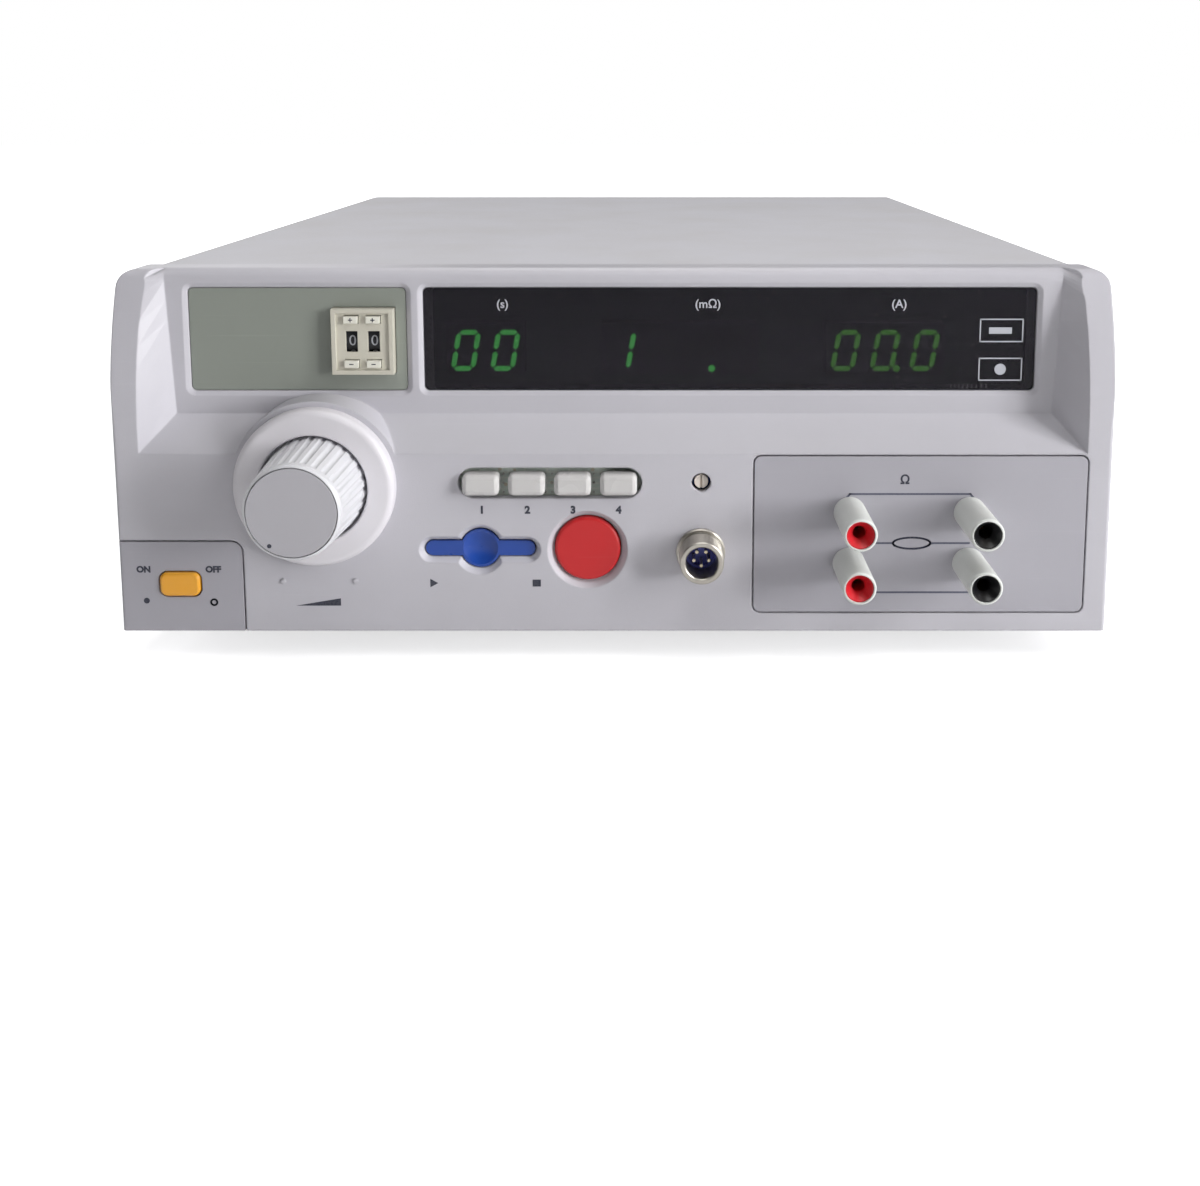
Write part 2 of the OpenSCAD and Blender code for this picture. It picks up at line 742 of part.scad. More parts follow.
module terminal_plate() placed() color([0.68, 0.68, 0.71])
    difference() {
        plate(0, inset_t) term_plate_outline();
        for (x = term_xs) for (z = term_zs) bar_y(x, z, neck_r + gap, -over, panel_t);
    }

// Fixed ring that the knob turns in, with a rounded outer edge
ring_bore_r = grip_r + 0.8;
module dial_ring() placed() color([0.74, 0.74, 0.755]) facing(knob_x, knob_z) {
    round = ring_t / 2;
    chamfer = 0.5;
    profile = concat(
        [[ring_bore_r, 0], [ring_r, 0]],
        arc(ring_r - round, ring_t - round, round, 0, 90, 6),
        [[ring_bore_r + chamfer, ring_t], [ring_bore_r, ring_t - chamfer]]
    );
    rotate_extrude($fn = 96) polygon(profile);
}

// Tapered grip with flutes that end below its face
knob_web = 3;
shaft_seat = grip_reach - knob_cap_t - knob_web;
module knob_grip() placed() color([0.80, 0.80, 0.815]) facing(knob_x, knob_z) {
    taper = atan((grip_r - grip_face_r) / (grip_reach - gap));
    rim = 1;
    flute_end = 2.6;
    profile = [
        [0, gap], [grip_r, gap],
        [grip_face_r + rim * tan(taper), grip_reach - rim], [grip_face_r - rim, grip_reach],
        [0, grip_reach]
    ];
    difference() {
        rotate_extrude($fn = 96) polygon(profile);
        for (i = [0:flutes - 1]) rotate([0, 0, 360 * i / flutes])
            translate([grip_r + flute_r - flute_d, 0, gap]) rotate([0, -taper, 0])
                translate([0, 0, -over]) cylinder(r = flute_r, h = grip_reach - flute_end + over, $fn = 24);
        translate([0, 0, -over]) cylinder(r = shaft_r + fit, h = over + shaft_seat);
        translate([0, 0, grip_reach - knob_cap_t]) cylinder(r = knob_cap_r + gap, h = knob_cap_t + over);
    }
}

module knob_cap() placed() color([0.70, 0.69, 0.71]) facing(knob_x, knob_z)
    translate([0, 0, grip_reach - knob_cap_t])
        cylinder(r = knob_cap_r, h = knob_cap_t);

// Places of the variable transformer along the knob's axis
bracket_foot = 15;
bracket_y = bezel_d + lip_d + over + bracket_foot;
bracket_t = 3;
bush_l = 10;
coil_room = 1;
coil_y = bracket_y + bracket_t + coil_room;
brush_y = coil_y + coil_l + coil_room;
brush_t = 6;
shaft_end = brush_y + brush_t + 4;

module variac_shaft() placed() color([0.75, 0.75, 0.72])
    bar_y(knob_x, knob_z, shaft_r, gap - shaft_seat, shaft_end);

// Bracket on the chassis with the bush that the shaft turns in and the hub that carries the coil
module variac_bracket() placed() color([0.55, 0.56, 0.58]) {
    w = 96;
    top_z = knob_z + coil_r - 4;
    bush_wall = 5;
    hub_r = coil_hole_r - 2;
    screw_hole_r = 2.2;
    difference() {
        union() {
            plate(bracket_y, bracket_y + bracket_t) translate([knob_x, (chassis_t + top_z) / 2])
                polygon(round_rect(w, top_z - chassis_t, 1.5));
            translate([knob_x - w / 2, bracket_y - bracket_foot, chassis_t])
                cube([w, bracket_foot + eps, bracket_t]);
            bar_y(knob_x, knob_z, shaft_r + bush_wall, bracket_y - bush_l, bracket_y + eps);
            bar_y(knob_x, knob_z, hub_r, bracket_y + bracket_t - eps, coil_y + coil_l);
        }
        bar_y(knob_x, knob_z, shaft_r + fit, bracket_y - bush_l - over, coil_y + coil_l + over);
        for (s = [-1, 1]) translate([knob_x + s * w / 3, bracket_y - bracket_foot / 2, 0])
            cylinder(r = screw_hole_r, h = chassis_t + bracket_t + over);
    }
}

// Children stand on a plane behind the panel, on the knob's axis, and rise to the rear
module on_shaft(y) translate([knob_x, y, knob_z]) rotate([-90, 0, 0]) children();

// Ring coil with rounded edges, whose rear face the brush runs on
module variac_coil() placed() color([0.72, 0.45, 0.20]) on_shaft(coil_y) {
    round = 5;
    inner = coil_hole_r;
    profile = concat(
        arc(coil_r - round, round, round, -90, 0, 4),
        arc(coil_r - round, coil_l - round, round, 0, 90, 4),
        arc(inner + round, coil_l - round, round, 90, 180, 4),
        arc(inner + round, round, round, 180, 270, 4)
    );
    rotate_extrude($fn = 96) polygon(profile);
}

// Arm on the shaft that carries the carbon brush
module variac_brush() placed() color([0.62, 0.60, 0.50]) on_shaft(brush_y) {
    hub_r = shaft_r + 6;
    arm = [coil_r - 10, 12, 2.5];
    carbon_r = 4;
    carbon_z = gap - coil_room;
    start_a = 60;
    difference() {
        union() {
            cylinder(r = hub_r, h = brush_t);
            rotate([0, 0, start_a]) translate([0, -arm[1] / 2, brush_t - arm[2]]) cube(arm);
            rotate([0, 0, start_a]) translate([arm[0] - 2 * carbon_r, 0, carbon_z])
                cylinder(r = carbon_r, h = brush_t - carbon_z);
        }
        translate([0, 0, -over]) cylinder(r = shaft_r + fit, h = brush_t + 2 * over);
    }
}

// Round stem of a push button, from the back of its cap into a hole of its switch
stem_r = 3;
stem_grip = 4;
push_cap_t = 4;
module round_stem(cap_back)
    translate([0, 0, -switch_y - stem_grip]) cylinder(r = stem_r, h = switch_y + stem_grip + cap_back + eps);

module start_button() placed() color([0.16, 0.30, 0.66]) facing(start_x, start_z) {
    cap_back = -start_sink - push_cap_t;
    hollow_r = start_disc_r - disc_rim;
    ball = (hollow_r * hollow_r + hollow_d * hollow_d) / (2 * hollow_d);
    difference() {
        translate([0, 0, cap_back]) linear_extrude(push_cap_t) start_outline();
        translate([0, 0, ball - hollow_d - start_sink]) sphere(r = ball, $fn = 96);
    }
    round_stem(cap_back);
}

module reset_button() placed() color([0.78, 0.20, 0.19]) facing(reset_x, start_z) {
    cap_back = -reset_sink - push_cap_t;
    round = 1.2;
    profile = concat(
        [[0, cap_back], [reset_r, cap_back]],
        arc(reset_r - round, -reset_sink - round, round, 0, 90, 4),
        [[0, -reset_sink]]
    );
    rotate_extrude($fn = 72) polygon(profile);
    round_stem(cap_back);
}

// Body of a push switch on the back of the control board
push_body = [15, 15, 14];
stem_room = 1;
module push_switch() translate([0, 0, -switch_y]) difference() {
    depth = stem_grip + push_travel + stem_room;
    translate([-push_body[0] / 2, -push_body[1] / 2, -push_body[2]]) cube(push_body);
    translate([0, 0, -depth]) cylinder(r = stem_r + gap, h = depth + over);
}

module start_switch() placed() color([0.20, 0.20, 0.22]) facing(start_x, start_z) push_switch();
module reset_switch() placed() color([0.20, 0.20, 0.22]) facing(reset_x, start_z) push_switch();

// One mode button: a pillowed cap on a square stem
mode_stem = 3.2;
mode_cap_back = 2;
module mode_layer(z, shrink) translate([0, 0, z - 2 * hair]) linear_extrude(2 * hair) mode_outline(-shrink);
module mode_button(i) placed() color([0.86, 0.86, 0.87]) facing(mode_xs[i], mode_z) {
    cap_back = -mode_cap_back;
    pillow = 1.5;
    side_top = mode_out - pillow;
    translate([0, 0, cap_back]) linear_extrude(side_top - cap_back) mode_outline();
    hull() {
        mode_layer(side_top + hair, 0);
        mode_layer(mode_out - pillow / 3, 0.7);
        mode_layer(mode_out, 1.6);
    }
    translate([-mode_stem / 2, -mode_stem / 2, -switch_y - stem_grip])
        cube([mode_stem, mode_stem, switch_y + stem_grip + cap_back + eps]);
}
module mode_button_1() mode_button(0);
module mode_button_2() mode_button(1);
module mode_button_3() mode_button(2);
module mode_button_4() mode_button(3);

module mode_switches() placed() color([0.22, 0.22, 0.24]) for (x = mode_xs) facing(x, mode_z, switch_y)
    difference() {
        body = [8, 8, 13];
        hole = mode_stem + 2 * gap;
        depth = stem_grip + mode_travel + stem_room;
        translate([-body[0] / 2, -body[1] / 2, -body[2]]) cube(body);
        translate([-hole / 2, -hole / 2, -depth]) cube([hole, hole, depth + over]);
    }

// Panel connector: flange, barrel, threaded tail and an insert with pins
conn_tail_r = 7;
conn_tail = 8;
conn_nut_r = 10.2;
nut_t = 3;
module connector_shell() placed() color([0.78, 0.78, 0.79]) facing(conn_x, conn_z) {
    rim = 0.4;
    flange_t = 1.2;
    profile = [
        [conn_bore_r, -conn_tail], [conn_tail_r, -conn_tail], [conn_tail_r, 0], [conn_flange_r, 0],
        [conn_flange_r, flange_t - rim], [conn_flange_r - rim, flange_t], [conn_r, flange_t],
        [conn_r, conn_out - rim], [conn_r - rim, conn_out], [conn_bore_r + rim, conn_out],
        [conn_bore_r, conn_out - rim]
    ];
    rotate_extrude($fn = 72) polygon(profile);
}

// Hexagonal nut behind the panel, on a threaded tail of radius r
module panel_nut(nut_r, r) translate([0, 0, -nut_t]) difference() {
    cylinder(r = nut_r, h = nut_t, $fn = 6);
    translate([0, 0, -over]) cylinder(r = r + fit, h = nut_t + 2 * over);
}

insert_base = 1.5;
insert_front = 4.5;
insert_step = 1.2;
pin_r = 0.6;
pin_ring = 2.8;
pin_out = 1.4;
pin_tail = 1.5;
module pin_places() for (i = [0:conn_pins - 1]) rotate([0, 0, 90 + 360 * (i + 0.5) / conn_pins])
    translate([pin_ring, 0, -conn_tail]) children();

module connector_insert() placed() color([0.20, 0.26, 0.55]) facing(conn_x, conn_z) difference() {
    length = conn_tail + insert_front;
    translate([0, 0, -conn_tail]) cylinder(r = conn_bore_r - fit, h = conn_tail + insert_base);
    cylinder(r = conn_bore_r - insert_step, h = insert_front);
    pin_places() translate([0, 0, -over]) cylinder(r = pin_r + fit, h = length + 2 * over, $fn = 16);
}

module connector_pins() placed() color([0.85, 0.72, 0.38]) facing(conn_x, conn_z) pin_places()
    translate([0, 0, -pin_tail])
        cylinder(r = pin_r, h = pin_tail + conn_tail + insert_front + pin_out, $fn = 16);

module connector_nut() placed() color([0.72, 0.72, 0.70]) facing(conn_x, conn_z, panel_t)
    panel_nut(conn_nut_r, conn_tail_r);

// Trimmer: a slotted shaft in a body on the control board
module trimmer_shaft() placed() color([0.83, 0.80, 0.74]) facing(trim_x, trim_z) difference() {
    sunk = 1.3;
    slot = [0.8, 1];
    back = 0.9 - board_y;
    translate([0, 0, back]) cylinder(r = trim_r, h = -sunk - back);
    translate([-slot[0] / 2, -trim_r - over, -sunk - slot[1]])
        cube([slot[0], 2 * trim_r + 2 * over, slot[1] + over]);
}

module trimmer_body() placed() color([0.25, 0.33, 0.62]) facing(trim_x, trim_z, board_y) difference() {
    body = [9.5, 9.5, 5];
    wall = 0.6;
    translate([-body[0] / 2, -body[1] / 2, 0]) cube(body);
    translate([0, 0, wall]) cylinder(r = trim_r + fit, h = body[2]);
}

// Test terminals: sleeve, coloured liner and brass socket
neck_r = 4.4;
neck_l = 7.5;
term_nut_r = 7.5;
liner_z0 = 2;
liner_end = sleeve_out - 0.5;
contact_sink = 12;
contact_end = sleeve_out - contact_sink;
module terminals(xs) for (x = xs) for (z = term_zs) facing(x, z) children();

module terminal_sleeves() placed() color([0.88, 0.88, 0.87]) terminals(term_xs) {
    rim = 0.5;
    profile = [
        [contact_r + fit, -neck_l], [neck_r, -neck_l], [neck_r, 0], [sleeve_r, 0],
        [sleeve_r, sleeve_out - rim], [sleeve_r - rim, sleeve_out], [liner_r + fit, sleeve_out],
        [liner_r + fit, liner_z0], [contact_r + fit, liner_z0]
    ];
    rotate_extrude() polygon(profile);
}

module liner() {
    edge = 0.35;
    hole_r = socket_r + gap;
    profile = [
        [contact_r + fit, liner_z0], [liner_r, liner_z0], [liner_r, liner_end],
        [liner_r - edge, liner_end], [hole_r, liner_end - funnel_d],
        [hole_r, contact_end + gap], [contact_r + fit, contact_end + gap]
    ];
    rotate_extrude() polygon(profile);
}
module terminal_liners_red() placed() color([0.80, 0.14, 0.16]) terminals([term_xs[0]]) liner();
module terminal_liners_black() placed() color([0.10, 0.10, 0.11]) terminals([term_xs[1]]) liner();

module terminal_contacts() placed() color([0.80, 0.66, 0.36]) terminals(term_xs) difference() {
    tail = neck_l + 8;
    translate([0, 0, -tail]) cylinder(r = contact_r, h = tail + contact_end);
    translate([0, 0, contact_end - socket_d]) cylinder(r = socket_r, h = socket_d + over);
}

module terminal_nuts() placed() color([0.74, 0.74, 0.72]) terminals(term_xs)
    translate([0, 0, -panel_t]) panel_nut(term_nut_r, neck_r);

// Power button: a latching push button with a square stem, drawn pressed in
power_stem = [8, 5];
power_stem_in = 12;
module power_button() placed() color([0.93, 0.58, 0.13]) facing(power_x, power_z) {
    cap_back = eps - panel_t;
    dome = 0.7;
    shoulder = power_out - dome;
    translate([0, 0, cap_back]) linear_extrude(shoulder - cap_back) power_outline();
    hull() {
        translate([0, 0, shoulder - hair]) linear_extrude(hair) power_outline();
        translate([0, 0, power_out - hair]) linear_extrude(hair) power_outline(-0.8);
    }
    translate([-power_stem[0] / 2, -power_stem[1] / 2, -panel_t - power_stem_in])
        cube([power_stem[0], power_stem[1], panel_t + power_stem_in + cap_back + eps]);
}

module power_switch() placed() color([0.16, 0.16, 0.17]) facing(power_x, power_z, panel_t + gap)
    difference() {
        body = [20, 16, 22];
        hole = [power_stem[0] + 2 * gap, power_stem[1] + 2 * gap];
        depth = power_stem_in + stem_room;
        translate([-body[0] / 2, -body[1] / 2, -body[2]]) cube(body);
        translate([-hole[0] / 2, -hole[1] / 2, -depth]) cube([hole[0], hole[1], depth + over]);
    }

// Pushwheel switch: two number drums on one axle, each with a key above and below
wheel_wall = 1.2;
drum_gap = 0.35;
wheel_face = wheel_rim_t + wheel_wall;
drum_deep = wheel_face + drum_gap + drum_r;
chamber_w = wheel_pitch - wheel_wall;
wheel_xs = [-wheel_pitch / 2, wheel_pitch / 2];
module wheel_outline(grow = 0) translate([wheel_x, wheel_z])
    square([wheel_w + 2 * grow, wheel_h + 2 * grow], center = true);

module pushwheel_housing() placed() color([0.80, 0.79, 0.70]) facing(wheel_x, wheel_z, wheel_y) {
    inner_h = wheel_h - 2 * wheel_wall;
    window = [4.4, 7.8];
    difference() {
        translate([-wheel_w / 2, -wheel_h / 2, -wheel_d]) cube([wheel_w, wheel_h, wheel_d]);
        translate([wheel_rim - wheel_w / 2, wheel_rim - wheel_h / 2, -wheel_rim_t])
            cube([wheel_w - 2 * wheel_rim, wheel_h - 2 * wheel_rim, wheel_rim_t + over]);
        for (x = wheel_xs) translate([x, 0, 0]) {
            translate([-chamber_w / 2, -inner_h / 2, wheel_wall - wheel_d])
                cube([chamber_w, inner_h, wheel_d - wheel_wall - wheel_face]);
            translate([-window[0] / 2, -window[1] / 2, -wheel_face - over])
                cube([window[0], window[1], wheel_face + 2 * over]);
            for (s = [-1, 1]) translate([-key_w / 2 - gap, s * key_dz - key_h / 2 - gap, -wheel_face - over])
                cube([key_w + 2 * gap, key_h + 2 * gap, wheel_face + 2 * over]);
        }
    }
    translate([over - wheel_w / 2, 0, -drum_deep]) rotate([0, 90, 0])
        cylinder(r = axle_r, h = wheel_w - 2 * over);
}

module number_drum(i) placed() color([0.20, 0.20, 0.21]) facing(wheel_x + wheel_xs[i], wheel_z, wheel_y) {
    w = chamber_w - 2 * gap;
    translate([-w / 2, 0, -drum_deep]) rotate([0, 90, 0]) difference() {
        cylinder(r = drum_r, h = w, $fn = 60);
        translate([0, 0, -over]) cylinder(r = axle_r + fit, h = w + 2 * over);
    }
}
module number_drum_tens() number_drum(0);
module number_drum_units() number_drum(1);

key_out = 1.3;
key_in = 0.6;
module wheel_key(i, s) placed() color([0.86, 0.85, 0.77])
    facing(wheel_x + wheel_xs[i], wheel_z + s * key_dz, wheel_y)
        translate([-key_w / 2, -key_h / 2, -wheel_face - key_in])
            cube([key_w, key_h, key_in + wheel_wall + key_out]);
module tens_up_key() wheel_key(0, 1);
module tens_down_key() wheel_key(0, -1);
module units_up_key() wheel_key(1, 1);
module units_down_key() wheel_key(1, -1);

// Display board with three digit blocks behind the window
module display_board() placed() color([0.13, 0.38, 0.22])
    translate([window_x0 - display_side, display_y, row_z])
        cube([window_w + 2 * display_side, board_t, row_h]);

module display_digits() placed() color([0.16, 0.17, 0.16]) {
    front = row_y + window_t + gap;
    groups = [[window_x0 + digits_left_in, 2], [digits_mid_x, 4], [window_x1 - digits_right_in, 3]];
    for (g = groups) translate([g[0] - g[1] * digit_pitch / 2, front, digit_mid_z - digit_block_h / 2])
        cube([g[1] * digit_pitch - gap, display_y - front, digit_block_h]);
}

// Control board behind the buttons, and a small riser board behind the mode buttons' slot on
// four spacers, with holes for the stems
riser_margin = 2;
riser_y = mode_cap_back + mode_travel + 2 * gap;
spacer_r = 1.5;
spacer_in = 2.5;
module control_board() placed() color([0.16, 0.42, 0.26]) difference() {
    riser = [slot_w + 2 * riser_margin, board_t, slot_h + 2 * riser_margin];
    union() {
        translate([control_x0, board_y, control_z0])
            cube([control_x1 - control_x0, board_t, control_z1 - control_z0]);
        translate([mode_x - riser[0] / 2, riser_y, mode_z - riser[2] / 2]) cube(riser);
        for (i = [-1, 1]) for (j = [-1, 1])
            bar_y(mode_x + i * (riser[0] / 2 - spacer_in), mode_z + j * (riser[2] / 2 - spacer_in),
                  spacer_r, riser_y + board_t / 2, board_y + board_t / 2);
    }
    slack = 2 * gap;
    hole = mode_stem + 2 * slack;
    for (x = [start_x, reset_x]) bar_y(x, start_z, stem_r + slack, board_y - over, switch_y + over);
    for (x = mode_xs) translate([x - hole / 2, riser_y - over, mode_z - hole / 2])
        cube([hole, switch_y - riser_y + 2 * over, hole]);
}

// Chassis: floor with upright flanges at the sides and the rear
screw_r = 1.5;
screw_gap = 0.3;
head_r = 3;
head_t = 1.8;
cover_screw_l = 8;
foot_screw_in = 5;
cover_screw_ys = [for (i = [0:2]) cover_screw_y + i * cover_screw_pitch];
cover_screw_z = flange_h / 2;
feet_xy = [for (x = [foot_in - half_w, half_w - foot_in])
    for (y = [foot_front, body_d - foot_rear]) [x, y]];
standoff_r = 3;
standoff_in = 6;
board_x = main_in + main_w / 2 - half_w;
board_corners = [for (s = [-1, 1]) for (y = [main_y + standoff_in, main_y + main_l - standoff_in])
    [board_x + s * (main_w / 2 - standoff_in), y]];

// Holes for the cover's screws, through both sides
module cover_screw_holes() for (y = cover_screw_ys) translate([-half_w, y, cover_screw_z])
    rotate([0, 90, 0]) cylinder(r = screw_r + screw_gap, h = body_w);

module chassis_base() placed() color([0.66, 0.67, 0.68]) difference() {
    flange_y0 = bezel_d + lip_d + over;
    union() {
        translate([-chassis_w / 2, chassis_y0, 0]) cube([chassis_w, chassis_y1 - chassis_y0, chassis_t]);
        for (s = [-1, 1]) translate([s * (chassis_w - chassis_t) / 2 - chassis_t / 2, flange_y0, 0])
            cube([chassis_t, chassis_y1 - flange_y0, flange_h]);
        translate([-rear_w / 2, chassis_y1 - chassis_t, 0]) cube([rear_w, chassis_t, flange_h / 2]);
        for (c = board_corners) translate([c[0], c[1], chassis_t - eps])
            cylinder(r = standoff_r, h = standoff_h + eps);
    }
    cover_screw_holes();
    for (p = feet_xy) translate([p[0], p[1], -over])
        cylinder(r = screw_r + screw_gap, h = chassis_t + 2 * over);
}

// Cover: one bent sheet with vent slots in both sides
module cover_outline(inset = 0) {
    w = cover_w / 2 - inset;
    top = cover_top - inset;
    r = cover_r - inset;
    polygon(concat(
        [[-w, gap - over * sign(inset)], [w, gap - over * sign(inset)]],
        arc(w - r, top - r, r, 0, 90, 5),
        arc(r - w, top - r, r, 90, 180, 5)
    ));
}

module top_cover() placed() color([0.74, 0.74, 0.76]) {
    vent_y0 = (body_d + bezel_d - (vents - 1) * vent_pitch) / 2;
    difference() {
        plate(cover_y, body_d) cover_outline();
        plate(cover_y - over, body_d + over) cover_outline(cover_t);
        across(body_w) for (i = [0:vents - 1]) for (z = [vent_z, vent_z + vent_h + vent_row_gap])
            translate([vent_y0 + i * vent_pitch, z])
                polygon(round_rect(vent_w, vent_h, vent_w / 2 - hair, 2));
        cover_screw_holes();
    }
}

// Rear panel with the openings for the fan, the inlet, the fuse and the ground post
fan_x = fan_in - half_w;
inlet_x = half_w - inlet_in;
fuse_x = inlet_x - fuse_dx;
post_x = inlet_x - post_dx;
duct_r = fan_size / 2 - 2;
fan_hole = fan_size / 2 - 4.25;
fan_screw_r = 2.2;
inlet_body = [27.5, 20];
inlet_flange = [50, 24];
fuse_r = 6.3;
post_r = 3;

// Four holes or pieces at the fan's corners
module fan_corners() for (x = [-1, 1]) for (z = [-1, 1]) translate([x * fan_hole, z * fan_hole, 0])
    children();

module rear_panel() placed() color([0.70, 0.70, 0.72]) difference() {
    translate([-rear_w / 2, rear_y, gap]) cube([rear_w, rear_t, rear_z1 - gap]);
    bar_y(fan_x, fan_z, duct_r, rear_y - over, rear_face + over);
    facing(fan_x, fan_z, rear_face) fan_corners() translate([0, 0, -over])
        cylinder(r = fan_screw_r, h = rear_t + 2 * over);
    plate(rear_y - over, rear_face + over) translate([inlet_x, inlet_z])
        square([inlet_body[0] + 2 * gap, inlet_body[1] + 2 * gap], center = true);
    bar_y(fuse_x, inlet_z, fuse_r + gap, rear_y - over, rear_face + over);
    bar_y(post_x, inlet_z, post_r + fit, rear_y - over, rear_face + over);
}

// Feet: tapered pads with a sunk screw hole
foot_sink = 6;
foot_taper = 1.5;
foot_hole_gap = 1;
module feet() placed() color([0.13, 0.13, 0.14])
    for (p = feet_xy) translate([p[0], p[1], -foot_h]) difference() {
        cylinder(r1 = foot_r - foot_taper, r2 = foot_r, h = foot_h);
        translate([0, 0, -over]) cylinder(r = head_r + foot_hole_gap, h = foot_sink + over);
        translate([0, 0, foot_sink - over]) cylinder(r = screw_r + screw_gap, h = foot_h);
    }

// Screw with a domed head at z 0 and its shank along +z
module screw(length) {
    dome = [for (a = [15:15:90]) [head_r * cos(a), -head_t * sin(a)]];
    rotate_extrude($fn = 32) polygon(concat([[0, 0], [head_r, 0]], dome));
    cylinder(r = screw_r, h = length, $fn = 24);
}

module case_screws() placed() color([0.60, 0.60, 0.62]) {
    for (y = cover_screw_ys) for (s = [-1, 1]) translate([s * cover_w / 2, y, cover_screw_z])
        rotate([0, -90 * s, 0]) screw(cover_screw_l);
    for (p = feet_xy) translate([p[0], p[1], foot_sink - foot_h]) screw(foot_h - foot_sink + foot_screw_in);
}

// Output transformer: laminated core with two windows, mounting feet and its winding
core_x = half_w - core_in - core_w / 2;
limb = core_w / 3;
limb_side = core_w / 6;
core_foot = 3;
core_z = chassis_t + core_foot;
win_w = (core_w - limb - 2 * limb_side) / 2;
win_h = core_h - 2 * limb_side;

module transformer_core() placed() color([0.40, 0.41, 0.43]) {
    foot_out = 10;
    foot_in_y = 5;
    difference() {
        translate([core_x - core_w / 2, core_y, core_z]) cube([core_w, core_t, core_h]);
        for (s = [-1, 1])
            translate([core_x + s * (limb + win_w) / 2 - win_w / 2, core_y - over, core_z + limb_side])
                cube([win_w, core_t + 2 * over, win_h]);
    }
    translate([core_x - core_w / 2 - foot_out, core_y + foot_in_y, chassis_t])
        cube([core_w + 2 * foot_out, core_t - 2 * foot_in_y, core_foot + eps]);
}

module transformer_coil() placed() color([0.70, 0.46, 0.24])
    translate([core_x, core_y + core_t / 2, core_z + limb_side + gap]) difference() {
        bulge = 16;
        corner = 8;
        w = limb + 2 * win_w - 2 * gap;
        h = win_h - 2 * gap;
        linear_extrude(h) polygon(round_rect(w, core_t + 2 * bulge, corner));
        translate([-limb / 2 - gap, -core_t / 2 - gap, -over])
            cube([limb + 2 * gap, core_t + 2 * gap, h + 2 * over]);
    }

// Main board on its standoffs, and what is soldered to it
main_z = chassis_t + standoff_h;
module main_board() placed() color([0.14, 0.40, 0.24])
    translate([board_x - main_w / 2, main_y, main_z]) cube([main_w, main_l, board_t]);

// Two capacitors, three relays, a heat sink, a choke and a terminal strip
module board_parts() placed() color([0.25, 0.26, 0.30]) translate([board_x, main_y, main_z + board_t]) {
    relay = [18, 28, 16];
    fin = [2, 22, 40];
    fin_pitch = 5;
    fins = 9;
    sink_base = 6;
    for (x = [-46, -14]) translate([x, 35, 0]) cylinder(r = 12.5, h = 42);
    for (i = [0:2]) translate([-50 + i * 22, 78, 0]) cube(relay);
    translate([15, 20, 0]) {
        cube([(fins - 1) * fin_pitch + fin[0], sink_base, fin[2]]);
        for (i = [0:fins - 1]) translate([i * fin_pitch, sink_base - over, 0]) cube(fin);
    }
    translate([20, 70, 0]) cube([32, 26, 28]);
    translate([-40, 8, 0]) cube([40, 9, 12]);
}

// Current shunt: four metal strips between two blocks, in front of the output transformer
shunt_left = 40;
shunt_ahead = 60;
module current_shunt() placed() color([0.72, 0.60, 0.36])
    translate([core_x - shunt_left, core_y - shunt_ahead, chassis_t]) difference() {
        block = [16, 26, 14];
        block_dx = 64;
        strip = [50, 2, 8];
        union() {
            for (x = [0, block_dx]) translate([x, 0, 0]) cube(block);
            for (y = [3:6:21]) translate([block[0] - over, y, block[2] - strip[2]]) cube(strip);
        }
        for (x = [0, block_dx]) translate([x + block[0] / 2, block[1] / 2, -over])
            cylinder(r = 2.6, h = block[2] + 2 * over);
    }

// Fan: square frame with a motor hub on struts, and the impeller
hub_r = 17;
strut_t = 4;
fan_shaft_r = 2;
fan_y1 = rear_y - gap;
fan_y0 = fan_y1 - fan_t;
module fan_frame() placed() color([0.11, 0.11, 0.12]) {
    strut_w = 4;
    difference() {
        plate(fan_y0, fan_y1) translate([fan_x, fan_z]) polygon(round_rect(fan_size, fan_size, 4));
        bar_y(fan_x, fan_z, duct_r, fan_y0 - over, fan_y1 + over);
        facing(fan_x, fan_z, fan_y1) fan_corners() translate([0, 0, -over])
            cylinder(r = fan_screw_r, h = fan_t + 2 * over);
    }
    difference() {
        union() {
            bar_y(fan_x, fan_z, hub_r, fan_y1 - strut_t, fan_y1);
            for (a = [45:90:315]) translate([fan_x, 0, fan_z]) rotate([0, a, 0])
                translate([0, fan_y1 - strut_t, -strut_w / 2]) cube([duct_r + eps, strut_t, strut_w]);
        }
        bar_y(fan_x, fan_z, fan_shaft_r + fit, fan_y1 - strut_t - over, fan_y1 - 1);
    }
}

// Impeller: hub, shaft and slanted blades
module fan_impeller() placed() color([0.14, 0.14, 0.15]) {
    blades = 7;
    blade_t = 1.6;
    blade_a = 48;
    y1 = fan_y1 - strut_t - gap;
    y0 = fan_y0 + 1.5;
    bar_y(fan_x, fan_z, hub_r, y0, y1);
    bar_y(fan_x, fan_z, fan_shaft_r, y1 - eps, fan_y1 - 1.5);
    intersection() {
        bar_y(fan_x, fan_z, duct_r - 1, y0 + 1, y1 - 1);
        for (i = [0:blades - 1]) translate([fan_x, (y0 + y1) / 2, fan_z])
            rotate([0, 360 * i / blades, 0]) translate([hub_r - 1, 0, 0]) rotate([blade_a, 0, 0])
                translate([0, -fan_t, -blade_t / 2]) cube([duct_r, 2 * fan_t, blade_t]);
    }
}

